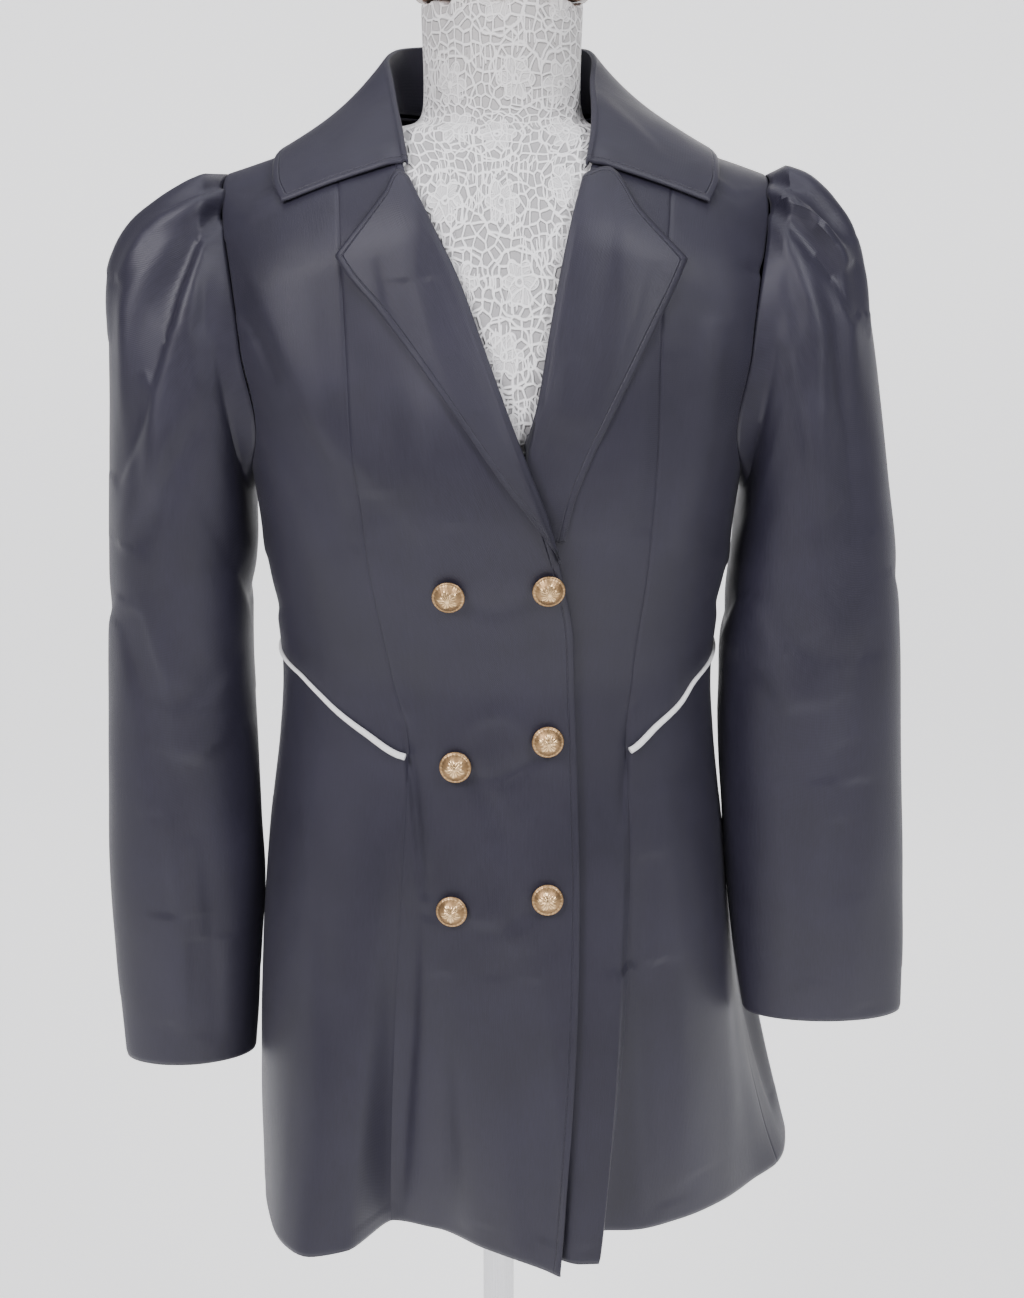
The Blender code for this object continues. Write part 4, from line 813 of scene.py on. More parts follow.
# creases of the body, by the view that they show in
bodyCreases = {
    "front": [
        # pulls between the buttons and at the waist
        Crease(0.0009, 0.0065, [(-0.030, 0.962), (-0.016, 0.984), (-0.003, 0.991), (0.010, 0.988),
                                (0.024, 0.976)]),
        Crease(-0.0014, 0.0070, [(-0.026, 0.952), (-0.011, 0.936), (-0.001, 0.914), (0.006, 0.890)]),
        Crease(0.0016, 0.0080, [(-0.010, 0.958), (0.002, 0.932), (0.008, 0.912)]),
        Crease(-0.0016, 0.0070, [(-0.015, 0.947), (0.003, 0.944), (0.020, 0.954), (0.034, 0.963)]),
        Crease(-0.0014, 0.0080, [(0.002, 0.832), (0.018, 0.845), (0.032, 0.853)]),
        Crease(0.0014, 0.0100, [(-0.024, 0.846), (0.000, 0.842), (0.014, 0.822)]),
        Crease(-0.0012, 0.0100, [(-0.026, 1.077), (0.000, 1.066), (0.026, 1.078)]),
        # the chest falls in soft upright folds to the waist
        Crease(0.0044, 0.0200, [(-0.176, 1.312), (-0.152, 1.272), (-0.124, 1.215), (-0.100, 1.150)]),
        Crease(-0.0020, 0.0160, [(-0.118, 1.300), (-0.104, 1.230), (-0.090, 1.130)]),
        Crease(-0.0026, 0.0170, [(0.134, 1.262), (0.128, 1.200), (0.112, 1.120)]),
        Crease(0.0018, 0.0160, [(0.152, 1.260), (0.146, 1.190), (0.130, 1.110)]),
        Crease(0.0030, 0.0220, [(-0.150, 1.250), (-0.120, 1.200), (-0.085, 1.165), (-0.050, 1.130)]),
        Crease(-0.0028, 0.0180, [(-0.165, 1.210), (-0.135, 1.160), (-0.110, 1.110)]),
        Crease(0.0024, 0.0200, [(0.100, 1.240), (0.096, 1.180), (0.084, 1.120)]),
        # drag lines from the collar to the armholes, and dimples at them
        Crease(-0.0016, 0.0065, [(0.129, 1.378), (0.144, 1.363), (0.167, 1.348)]),
        Crease(0.0013, 0.0060, [(0.133, 1.371), (0.147, 1.357), (0.166, 1.344)]),
        Crease(-0.0013, 0.0055, [(0.135, 1.364), (0.148, 1.351), (0.166, 1.339)]),
        Crease(-0.0014, 0.0070, [(-0.131, 1.368), (-0.148, 1.353), (-0.168, 1.342)]),
        Crease(0.0012, 0.0075, [(-0.136, 1.352), (-0.150, 1.338), (-0.170, 1.328)]),
        Crease(-0.0024, 0.0048, [(0.170, 1.296), (0.178, 1.293), (0.186, 1.291)]),
        Crease(-0.0016, 0.0060, [(-0.172, 1.262), (-0.160, 1.246), (-0.150, 1.222)]),
        # the front seams sink below the piping
        Crease(-0.0034, 0.0042, [(-0.0660, 0.982), (-0.0604, 0.934), (-0.0560, 0.891), (-0.0530, 0.858)]),
        Crease(-0.0028, 0.0040, [(0.0945, 0.990), (0.0930, 0.953), (0.0905, 0.905)]),
        # soft folds of the skirt
        Crease(-0.0030, 0.0110, [(-0.058, 0.842), (-0.062, 0.760), (-0.068, 0.680), (-0.074, 0.600)]),
        Crease(0.0026, 0.0130, [(-0.030, 0.800), (-0.026, 0.700), (-0.022, 0.600)]),
        Crease(-0.0022, 0.0140, [(0.012, 0.800), (0.016, 0.700), (0.022, 0.600)]),
        Crease(0.0024, 0.0120, [(0.036, 0.800), (0.046, 0.700), (0.054, 0.600)]),
        Crease(-0.0026, 0.0160, [(-0.128, 0.900), (-0.126, 0.800), (-0.118, 0.680), (-0.112, 0.600)]),
        Crease(0.0030, 0.0170, [(0.128, 0.880), (0.136, 0.760), (0.140, 0.620)]),
        Crease(-0.0030, 0.0150, [(0.112, 0.930), (0.106, 0.800), (0.112, 0.680), (0.118, 0.600)]),
    ],
    "back": [
        Crease(-0.0022, 0.0090, [(-0.080, 1.060), (-0.040, 1.046), (0.000, 1.052), (0.045, 1.044),
                                 (0.082, 1.058)]),
        Crease(0.0018, 0.0100, [(-0.070, 1.082), (-0.030, 1.070), (0.012, 1.078)]),
        Crease(-0.0016, 0.0085, [(0.010, 1.096), (0.048, 1.086), (0.084, 1.100)]),
        Crease(-0.0022, 0.0120, [(-0.160, 1.300), (-0.140, 1.250), (-0.128, 1.190)]),
        Crease(-0.0020, 0.0110, [(0.162, 1.306), (0.143, 1.262), (0.132, 1.210)]),
        Crease(0.0018, 0.0130, [(-0.120, 1.330), (-0.060, 1.345), (0.000, 1.340), (0.064, 1.348),
                                (0.118, 1.332)]),
        Crease(-0.0026, 0.0150, [(-0.050, 0.950), (-0.052, 0.820), (-0.058, 0.700), (-0.060, 0.600)]),
        Crease(0.0024, 0.0150, [(0.020, 0.930), (0.018, 0.800), (0.014, 0.640)]),
        Crease(-0.0024, 0.0160, [(0.096, 0.940), (0.104, 0.820), (0.110, 0.640)]),
    ],
    "left": [
        Crease(-0.0022, 0.0100, [(-0.040, 1.060), (0.000, 1.042), (0.045, 1.052)]),
        Crease(0.0018, 0.0110, [(-0.050, 1.092), (0.004, 1.078), (0.050, 1.090)]),
        Crease(-0.0026, 0.0150, [(0.020, 0.900), (0.026, 0.780), (0.034, 0.620)]),
    ],
    "right": [
        Crease(-0.0020, 0.0100, [(-0.048, 1.056), (-0.004, 1.044), (0.038, 1.056)]),
        Crease(0.0017, 0.0105, [(-0.030, 1.096), (0.010, 1.082), (0.054, 1.094)]),
        Crease(-0.0026, 0.0150, [(0.014, 0.900), (0.018, 0.780), (0.024, 0.620)]),
    ],
}

# Cut of each panel: its flat size, its area, and the width that its grid is made for
PanelCut = namedtuple("PanelCut", "flat area gridWidth")
bodyCuts = {
    "frontRight": PanelCut((0.144, 0.926), 0.100, 0.17), "frontLeft": PanelCut((0.171, 0.906), 0.101, 0.14),
    "sideFrontBodiceRight": PanelCut((0.171, 0.503), 0.051, 0.13),
    "sideFrontBodiceLeft": PanelCut((0.141, 0.494), 0.043, 0.13),
    "sideBackBodiceRight": PanelCut((0.145, 0.401), 0.042, 0.13),
    "sideBackBodiceLeft": PanelCut((0.145, 0.401), 0.042, 0.13),
    "sideFrontSkirtRight": PanelCut((0.243, 0.434), 0.079, 0.18),
    "sideFrontSkirtLeft": PanelCut((0.199, 0.448), 0.064, 0.18),
    "sideBackSkirtRight": PanelCut((0.220, 0.455), 0.078, 0.18),
    "sideBackSkirtLeft": PanelCut((0.257, 0.458), 0.085, 0.18),
    "backRight": PanelCut((0.145, 0.871), 0.079, 0.12), "backLeft": PanelCut((0.145, 0.871), 0.081, 0.12),
}


# a body panel between two edges, from one row to another
def bodyPiece(name, node, first, second, rows, flip=False, lap=None, edges="seam seam seam free"):
    panel = bodyCuts[name]
    cells = (round(panel.gridWidth / cloth["cellSize"]), round(panel.flat[1] / cloth["cellSize"]))
    lapped = [edge for edge, kind in zip(edgeNames, edges.split()) if kind == "seam"]
    if rows[0] == 0:
        lapped.remove("top")
    clothPiece(name, node, panelMap(first, second, rows[0], rows[1], lap), cells, panel.flat, panel.area,
               bodyCreases, flip=flip, edges=edges, lapped=lapped, stitched=("left", "right"))


# fronts, side panels split at the piped waist seam, and backs
def buildBody():
    hem = bodiceRows + skirtRows
    seamRight = lineEdge(princessRight)
    seamLeft = lineEdge(princessLeft)
    over = lineEdge(overEdgeRows, lowerAngle=overlap["edge"])
    under = lineEdge(underEdgeRows, lowerAngle=overlap["underEdge"])
    bodyPiece("frontRight", "front_right", seamRight, over, (0, hem), lap=lapOut, edges="seam free seam free")
    bodyPiece("frontLeft", "front_left", under, seamLeft, (0, hem), edges="free seam seam free")
    halves = (("Bodice", (0, bodiceRows), "seam seam seam seam"),
              ("Skirt", (bodiceRows, hem), "seam seam seam free"))
    for sign, side, front in ((-1.0, "Right", seamRight), (1.0, "Left", seamLeft)):
        back = lineEdge(princessBack, mirror=sign < 0, behind=True)
        for half, rows, edges in halves:
            node = "_" + half.lower() + "_" + side.lower()
            bodyPiece("sideFront" + half + side, "side_front" + node, front, armholeEdge(sign, False), rows,
                      flip=sign < 0, edges=edges)
            bodyPiece("sideBack" + half + side, "side_back" + node, armholeEdge(sign, True), back, rows,
                      flip=sign < 0, edges=edges)
        bodyPiece("back" + side, "back_" + side.lower(), back, centreBackEdge(sign), (0, hem), flip=sign < 0)
    print("body panels laid")


# Sleeves from the shoulder down to the cuff: outer and inner line from the front, half depth, and y
Sleeve = namedtuple("Sleeve", "outerX outerHeight innerX innerHeight depth y")
sleeveRight = [
    Sleeve(0.2060, 1.3570, 0.1790, 1.130, 0.0670, 0.002),
    Sleeve(0.2190, 1.3500, 0.1785, 1.112, 0.0700, 0.002),
    Sleeve(0.2400, 1.3370, 0.1780, 1.095, 0.0710, 0.001),
    Sleeve(0.2600, 1.3190, 0.1790, 1.078, 0.0710, 0.000),
    Sleeve(0.2720, 1.2930, 0.1815, 1.058, 0.0710, 0.000),
    Sleeve(0.2765, 1.2530, 0.1830, 1.034, 0.0690, 0.000),
    Sleeve(0.2795, 1.2020, 0.1835, 1.004, 0.0650, 0.000),
    Sleeve(0.2838, 1.1420, 0.1835, 0.968, 0.0610, 0.000),
    Sleeve(0.2870, 1.0760, 0.1830, 0.930, 0.0570, -0.002),
    Sleeve(0.2905, 1.0000, 0.1820, 0.886, 0.0530, -0.006),
    Sleeve(0.2935, 0.9180, 0.1800, 0.838, 0.0480, -0.012),
    Sleeve(0.2955, 0.8440, 0.1825, 0.790, 0.0420, -0.017),
    Sleeve(0.2935, 0.7700, 0.1850, 0.740, 0.0350, -0.021),
    Sleeve(0.2895, 0.6930, 0.1885, 0.697, 0.0290, -0.024),
]
sleeveLeft = [
    Sleeve(0.2040, 1.3630, 0.1790, 1.130, 0.0670, 0.002),
    Sleeve(0.2190, 1.3560, 0.1780, 1.112, 0.0700, 0.002),
    Sleeve(0.2340, 1.3430, 0.1755, 1.095, 0.0710, 0.001),
    Sleeve(0.2480, 1.3250, 0.1735, 1.078, 0.0710, 0.000),
    Sleeve(0.2585, 1.2960, 0.1705, 1.058, 0.0710, -0.001),
    Sleeve(0.2665, 1.2590, 0.1680, 1.034, 0.0690, -0.003),
    Sleeve(0.2750, 1.2060, 0.1660, 1.004, 0.0650, -0.006),
    Sleeve(0.2835, 1.1480, 0.1660, 0.968, 0.0610, -0.010),
    Sleeve(0.2930, 1.0800, 0.1675, 0.932, 0.0570, -0.015),
    Sleeve(0.2985, 1.0050, 0.1705, 0.892, 0.0530, -0.020),
    Sleeve(0.3020, 0.9260, 0.1735, 0.848, 0.0480, -0.025),
    Sleeve(0.3060, 0.8500, 0.1775, 0.806, 0.0420, -0.029),
    Sleeve(0.3095, 0.7850, 0.1830, 0.768, 0.0350, -0.032),
    Sleeve(0.3105, 0.7360, 0.1885, 0.735, 0.0280, -0.034),
]
SleeveAt = namedtuple("SleeveAt", ("at",) + Sleeve._fields)

# Pleats and folds of a sleeve: angle round the sleeve from its top, forwards
Pleat = namedtuple("Pleat", "turn drift width height first peak last")
pleatRows = [
    Pleat(14, 1.0, 9, 0.0080, 0, 2, 6),
    Pleat(36, 2.0, 10, 0.0110, 0, 3, 8),
    Pleat(60, 3.5, 11, 0.0090, 0, 3, 9),
    Pleat(-16, -1.0, 9, 0.0070, 0, 2, 6),
    Pleat(-38, -2.0, 10, 0.0100, 0, 3, 8),
    Pleat(-62, -3.0, 11, 0.0080, 0, 2, 7),
    Pleat(48, 3.0, 9, -0.0060, 1, 4, 9),
    Pleat(-50, -3.0, 9, -0.0055, 1, 4, 9),
    Pleat(100, -5.0, 22, 0.0050, 5, 8, 12),
    Pleat(-80, 4.0, 24, 0.0050, 5, 9, 13),
]

# crowd moves the grid's columns towards the top, gap is the step at the armhole, pleatShare eases the pleats
sleeve = {"crowd": 0.35, "gap": -0.0004, "pleatShare": 0.45, "cells": (120, 190)}
sleeveRowsMade = {}


# point of the armhole; turn runs from the shoulder forwards to the underarm
def armholePoint(sign, turn):
    turn = (turn + 360.0) % 360.0
    middle = (shoulderHeight + underarmHeight) / 2
    half = (shoulderHeight - underarmHeight) / 2
    height = middle + half * math.cos(math.radians(turn))
    edge = armholeEdge(sign, turn > 180.0)
    point = bodyPoint(edge.angle(height), height)
    point.x += sign * sleeve["gap"]
    return point


# point of a sleeve's outer face; ring 0 is the armhole, then one for each row
def sleevePoint(rows, sign, ring, turn):
    if ring < 1.0:
        start = armholePoint(sign, turn)
        if ring == 0.0:
            return start
        return start.lerp(sleevePoint(rows, sign, 1.0, turn), ring)
    return rowPoint(sleeveRow(rows, ring), sign, ring, turn)


# a sleeve's row between two rows of its table
def sleeveRow(rows, ring):
    key = id(rows), ring
    if key not in sleeveRowsMade:
        sleeveRowsMade[key] = Sleeve(*[smooth(rows, "at", column, ring) for column in Sleeve._fields])
    return sleeveRowsMade[key]


# point of one sleeve row, with the pleats that cross it
def rowPoint(row, sign, ring, turn):
    cosine = math.cos(math.radians(turn))
    sine = math.sin(math.radians(turn))
    raised = 0.0
    for pleat in pleatRows:
        if pleat.first < ring < pleat.last:
            middle = pleat.turn + pleat.drift * (ring - pleat.first)
            away = (turn - middle + 180.0) % 360.0 - 180.0
            strength = ease(pleat.first, pleat.peak, ring) * ease(pleat.last, pleat.peak, ring)
            raised += sleeve["pleatShare"] * pleat.height * strength * math.exp(-(away / pleat.width) ** 2)
    outer = Vector((row.outerX, row.y, row.outerHeight))
    inner = Vector((row.innerX, row.y, row.innerHeight))
    half = (outer - inner) / 2
    centre = (outer + inner) / 2
    scale = 1.0 + raised / half.length
    depth = row.depth + raised
    point = centre + half * (cosine * scale)
    point.y -= depth * sine
    point.x *= sign
    return point


# creases of the sleeves; each has its like on the hidden side
sleeveCreases = {
    "front": [
        # wearer's right head: gathered pleats that fan out from the armhole
        Crease(-0.0044, 0.0040, [(-0.180, 1.352), (-0.198, 1.346), (-0.211, 1.340), (-0.226, 1.331)]),
        Crease(0.0062, 0.0075, [(-0.180, 1.341), (-0.204, 1.335), (-0.222, 1.327), (-0.238, 1.317),
                                (-0.260, 1.288)]),
        Crease(-0.0075, 0.0080, [(-0.182, 1.337), (-0.207, 1.311), (-0.218, 1.284), (-0.227, 1.256),
                                 (-0.238, 1.222)]),
        Crease(-0.0040, 0.0100, [(-0.227, 1.256), (-0.243, 1.204), (-0.258, 1.169), (-0.270, 1.147)]),
        Crease(0.0016, 0.0090, [(-0.196, 1.318), (-0.206, 1.290), (-0.210, 1.250), (-0.206, 1.214)]),
        Crease(0.0042, 0.0100, [(-0.208, 1.210), (-0.222, 1.184), (-0.237, 1.157), (-0.252, 1.130),
                                (-0.268, 1.102)]),
        Crease(-0.0014, 0.0080, [(-0.196, 1.300), (-0.199, 1.260), (-0.200, 1.216)]),
        Crease(-0.0030, 0.0110, [(-0.214, 1.180), (-0.232, 1.140), (-0.250, 1.100)]),
        Crease(0.0022, 0.0110, [(-0.250, 1.050), (-0.236, 1.000), (-0.232, 0.940)]),
        Crease(-0.0022, 0.0120, [(-0.270, 1.040), (-0.256, 0.985), (-0.250, 0.900)]),
        Crease(-0.0018, 0.0100, [(-0.196, 1.010), (-0.214, 0.990), (-0.236, 0.984)]),
        Crease(0.0018, 0.0110, [(-0.198, 0.960), (-0.216, 0.946), (-0.236, 0.950)]),
        Crease(0.0024, 0.0130, [(-0.240, 0.900), (-0.236, 0.820), (-0.240, 0.730)]),
        Crease(-0.0020, 0.0120, [(-0.216, 0.880), (-0.214, 0.800), (-0.216, 0.720)]),
        # wearer's left head: tighter tucks, with dark pockets under them
        Crease(-0.0036, 0.0038, [(0.192, 1.351), (0.202, 1.349), (0.212, 1.347)]),
        Crease(0.0064, 0.0052, [(0.186, 1.344), (0.203, 1.337), (0.212, 1.331), (0.224, 1.318),
                                (0.242, 1.297)]),
        Crease(-0.0056, 0.0060, [(0.206, 1.342), (0.216, 1.336), (0.228, 1.326), (0.240, 1.312)]),
        Crease(-0.0060, 0.0080, [(0.194, 1.331), (0.210, 1.314), (0.223, 1.299), (0.236, 1.284),
                                 (0.248, 1.262)]),
        Crease(0.0018, 0.0080, [(0.194, 1.320), (0.204, 1.296), (0.216, 1.270), (0.228, 1.236)]),
        Crease(-0.0020, 0.0090, [(0.196, 1.304), (0.202, 1.274), (0.210, 1.244), (0.218, 1.204)]),
        Crease(0.0030, 0.0110, [(0.204, 1.240), (0.214, 1.190), (0.228, 1.130)]),
        Crease(-0.0030, 0.0110, [(0.236, 1.240), (0.246, 1.180), (0.254, 1.110)]),
        Crease(0.0026, 0.0120, [(0.226, 1.100), (0.238, 1.040), (0.242, 0.960)]),
        Crease(-0.0026, 0.0110, [(0.190, 1.060), (0.210, 1.030), (0.232, 1.020)]),
        Crease(0.0022, 0.0110, [(0.192, 1.010), (0.212, 0.990), (0.236, 0.992)]),
        Crease(-0.0024, 0.0130, [(0.256, 1.020), (0.250, 0.930), (0.252, 0.840)]),
        Crease(-0.0022, 0.0120, [(0.212, 0.930), (0.220, 0.850), (0.226, 0.770)]),
        Crease(0.0022, 0.0130, [(0.262, 0.900), (0.264, 0.820), (0.268, 0.750)]),
    ],
    "back": [
        Crease(-0.0040, 0.0050, [(-0.190, 1.346), (-0.204, 1.340), (-0.220, 1.330)]),
        Crease(0.0046, 0.0065, [(-0.190, 1.334), (-0.208, 1.328), (-0.226, 1.314), (-0.240, 1.296)]),
        Crease(-0.0058, 0.0085, [(-0.192, 1.322), (-0.210, 1.296), (-0.220, 1.262), (-0.228, 1.226)]),
        Crease(0.0034, 0.0110, [(-0.208, 1.220), (-0.224, 1.180), (-0.246, 1.130)]),
        Crease(-0.0026, 0.0120, [(-0.206, 1.160), (-0.226, 1.110), (-0.240, 1.050)]),
        Crease(-0.0026, 0.0110, [(-0.200, 1.020), (-0.224, 1.000), (-0.250, 1.006)]),
        Crease(0.0022, 0.0120, [(-0.206, 0.980), (-0.230, 0.964), (-0.256, 0.972)]),
        Crease(-0.0020, 0.0140, [(-0.240, 0.900), (-0.236, 0.800), (-0.238, 0.710)]),
        Crease(-0.0042, 0.0048, [(0.192, 1.348), (0.206, 1.343), (0.220, 1.334)]),
        Crease(0.0046, 0.0062, [(0.194, 1.337), (0.210, 1.330), (0.228, 1.314), (0.240, 1.298)]),
        Crease(-0.0060, 0.0080, [(0.196, 1.326), (0.212, 1.300), (0.224, 1.266), (0.232, 1.230)]),
        Crease(0.0032, 0.0110, [(0.206, 1.226), (0.220, 1.180), (0.240, 1.120)]),
        Crease(-0.0026, 0.0120, [(0.230, 1.170), (0.242, 1.100), (0.250, 1.040)]),
        Crease(-0.0026, 0.0110, [(0.196, 1.040), (0.222, 1.022), (0.250, 1.030)]),
        Crease(0.0022, 0.0130, [(0.204, 0.990), (0.230, 0.976), (0.258, 0.984)]),
        Crease(-0.0020, 0.0140, [(0.244, 0.920), (0.248, 0.830), (0.252, 0.750)]),
    ],
    "left": [
        Crease(-0.0040, 0.0070, [(0.008, 1.346), (0.016, 1.304), (0.024, 1.256)]),
        Crease(0.0034, 0.0080, [(-0.018, 1.340), (-0.024, 1.300), (-0.030, 1.250)]),
        Crease(-0.0024, 0.0120, [(-0.034, 1.080), (-0.004, 1.050), (0.026, 1.060)]),
        Crease(0.0022, 0.0140, [(0.000, 0.980), (-0.012, 0.880), (-0.020, 0.770)]),
    ],
    "right": [
        Crease(-0.0040, 0.0070, [(0.010, 1.342), (0.020, 1.300), (0.030, 1.250)]),
        Crease(0.0034, 0.0080, [(-0.016, 1.338), (-0.022, 1.296), (-0.026, 1.246)]),
        Crease(-0.0026, 0.0120, [(-0.030, 1.060), (0.000, 1.030), (0.030, 1.040)]),
        Crease(0.0022, 0.0140, [(0.010, 0.960), (-0.002, 0.860), (-0.006, 0.740)]),
    ],
}
sleeveCuts = {"sleeveRight": ((0.42, 0.66), 0.217), "sleeveLeft": ((0.42, 0.66), 0.216)}


# a sleeve tube from the armhole to its open cuff
def buildSleeve(name, node, table, sign):
    rows = [SleeveAt(at, *row) for at, row in enumerate(table, start=1)]
    count = len(rows)
    ringRuns = [0.0]
    for ring in range(count):
        step = sleevePoint(rows, sign, ring + 1.0, 90.0) - sleevePoint(rows, sign, float(ring), 90.0)
        ringRuns.append(ringRuns[-1] + step.length)

    def place(across, down):
        turn = 360.0 * across
        turn -= math.degrees(sleeve["crowd"]) * math.sin(math.radians(turn))
        ring = float(np.interp(down * ringRuns[-1], ringRuns, range(count + 1)))
        return sleevePoint(rows, sign, ring, turn)

    flat, area = sleeveCuts[name]
    clothPiece(name, node, place, sleeve["cells"], flat, area, sleeveCreases, flip=sign > 0, closed=True,
               edges="none none none free", spread=(0.0, 0.0))


# Collar columns from centre back (0) to the front end (8), for the wearer's left half.
# Turn is measured over the shoulder from its line: to the front it is positive.
Collar = namedtuple("Collar", "at neckX neckY neckZ rollX rollY rollZ lean edgeX edgeTurn")
collarRows = [
    Collar(0, 0.0000, 0.0705, 1.3965, 0.0000, 0.0880, 1.4490, 0.0000, 0.0000, -66.0),
    Collar(1, 0.0220, 0.0640, 1.3965, 0.0250, 0.0835, 1.4490, 0.0000, 0.0330, -64.0),
    Collar(2, 0.0420, 0.0535, 1.3970, 0.0490, 0.0710, 1.4465, -0.0015, 0.0700, -56.0),
    Collar(3, 0.0580, 0.0400, 1.3975, 0.0680, 0.0480, 1.4430, -0.0030, 0.1060, -42.0),
    Collar(4, 0.0655, 0.0290, 1.3980, 0.0737, 0.0220, 1.4350, -0.0040, 0.1350, -22.0),
    Collar(5, 0.0690, 0.0080, 1.3975, 0.0707, -0.0060, 1.4205, -0.0030, 0.1490, 0.0),
    Collar(6, 0.0680, -0.0250, 1.3900, 0.0690, -0.0300, 1.4050, -0.0010, 0.1530, 20.0),
    Collar(7, 0.0640, -0.0510, 1.3790, 0.0660, -0.0520, 1.3870, 0.0008, 0.1510, 38.0),
    Collar(8, 0.0600, -0.0710, 1.3640, 0.0615, -0.0750, 1.3660, 0.0010, 0.1430, 53.0),
]

# roll is the radius of its fold, crown the rise of its fall, lift and clear keep it off the shoulder;
# fall gives the places of its points, and bands the points that lie at shares of the cloth
collar = {
    "roll": 0.0030, "stand": 0.55, "crown": 0.0005, "lift": 0.0045,
    "clear": 0.0034, "tries": 40, "nudge": 0.001,
    "fall": (0.1, 0.25, 0.42, 0.6, 0.78, 0.91, 1.0), "rollTurns": (0.0, 50.0, 100.0, 150.0),
    "bandShares": (0.0, 0.20, 0.44, 1.0), "bandPoints": (0, 2, 5, 12),
    "cells": (170, 60), "flat": (0.556, 0.151), "area": 0.061, "slack": 0.4,
}


# point of the body at x, turned over the shoulder line, to the front when positive
def overShoulder(x, turn):
    height = crest(x) - shoulderRound * (1 - math.cos(math.radians(turn)))
    halfWidth = smooth(ringRows, "height", "halfWidth", height)
    side = "front" if turn > 0 else "back"
    depth = smooth(ringRows, "height", side, height)
    y = depth * (1 - min(abs(x) / halfWidth, 1.0) ** squareness) ** (1 / squareness)
    y = -y if turn > 0 else y
    return Vector((x, mix(shoulderY, y, math.sin(math.radians(abs(turn)))), height))


# outward direction of the body there
def shoulderNormal(x, turn):
    across = overShoulder(x + heightStep, turn) - overShoulder(x - heightStep, turn)
    forward = overShoulder(x, turn + turnStep) - overShoulder(x, turn - turnStep)
    out = forward.cross(across)
    return out.normalized() if out.z > 0 else -out.normalized()


# move a point out until it is a gap clear of the shoulder and chest
def clearOfBody(point, gap):
    for _ in range(collar["tries"]):
        fall = max(crest(point.x) - point.z, 0.0)
        byHeight = math.degrees(math.acos(max(1 - fall / shoulderRound, 0.0)))
        side = 1.0 if point.y < shoulderY else -1.0
        reach = abs(overShoulder(point.x, 90.0 * side).y - shoulderY)
        byDepth = math.degrees(math.asin(min(abs(point.y - shoulderY) / reach, 1.0)))
        turn = side * (byHeight + byDepth) / 2
        near = overShoulder(point.x, turn)
        out = shoulderNormal(point.x, turn)
        short = gap - (point - near).dot(out)
        if short <= 0.0:
            break
        point = point + out * min(short, collar["nudge"])
    return point


# points of one collar column: up the stand, over the roll and down the fall
def collarColumn(at, sign):
    read = {field: smooth(collarRows, "at", field, at) for field in Collar._fields}
    neck = Vector((sign * read["neckX"], read["neckY"], read["neckZ"]))
    roll = Vector((sign * read["rollX"] + read["lean"], read["rollY"], read["rollZ"]))
    edgeX = sign * read["edgeX"]
    edge = overShoulder(edgeX, read["edgeTurn"])
    edge += shoulderNormal(edgeX, read["edgeTurn"]) * collar["lift"]
    away = edge - roll
    away.z = 0.0
    away.normalize()
    up = Vector((0.0, 0.0, 1.0))
    radius = collar["roll"]
    centre = roll - up * radius
    points = [neck, neck.lerp(centre - away * radius, collar["stand"])]
    for turn in collar["rollTurns"]:
        lean = math.radians(turn)
        points.append(centre - away * (radius * math.cos(lean)) + up * (radius * math.sin(lean)))
    start = points[-1]
    for share in collar["fall"]:
        point = start.lerp(edge, share)
        point.z += collar["crown"] * math.sin(math.pi * share)
        points.append(clearOfBody(point, collar["clear"]))
    return points


collarCreases = {
    "front": [
        Crease(-0.0010, 0.0090, [(-0.070, 1.410), (-0.095, 1.398), (-0.120, 1.380)]),
        Crease(0.0010, 0.0100, [(-0.075, 1.425), (-0.100, 1.412), (-0.125, 1.394)]),
        Crease(-0.0012, 0.0090, [(0.076, 1.412), (0.100, 1.392), (0.124, 1.366)]),
        Crease(0.0010, 0.0100, [(0.082, 1.428), (0.108, 1.406), (0.130, 1.384)]),
    ],
    "back": [
        Crease(-0.0012, 0.0110, [(-0.070, 1.420), (-0.030, 1.412), (0.020, 1.418), (0.070, 1.410)]),
    ],
}


# collar with its stand and fall, from one gorge round the neck to the other
def buildCollar():
    @lru_cache(maxsize=None)
    def column(at):
        return collarColumn(abs(at), -1.0 if at < 0 else 1.0)

    def place(across, down):
        points = column((2 * across - 1) * (len(collarRows) - 1))
        return through(points, float(np.interp(down, collar["bandShares"], collar["bandPoints"])))

    clothPiece("collarShell", "collar", place, collar["cells"], collar["flat"], collar["area"], collarCreases,
               flip=True, edges="free free seam free", slack=collar["slack"],
               spread=(0.0, 0.0), stitched=("left", "right", "bottom"))
    print("collar and lapels turned")


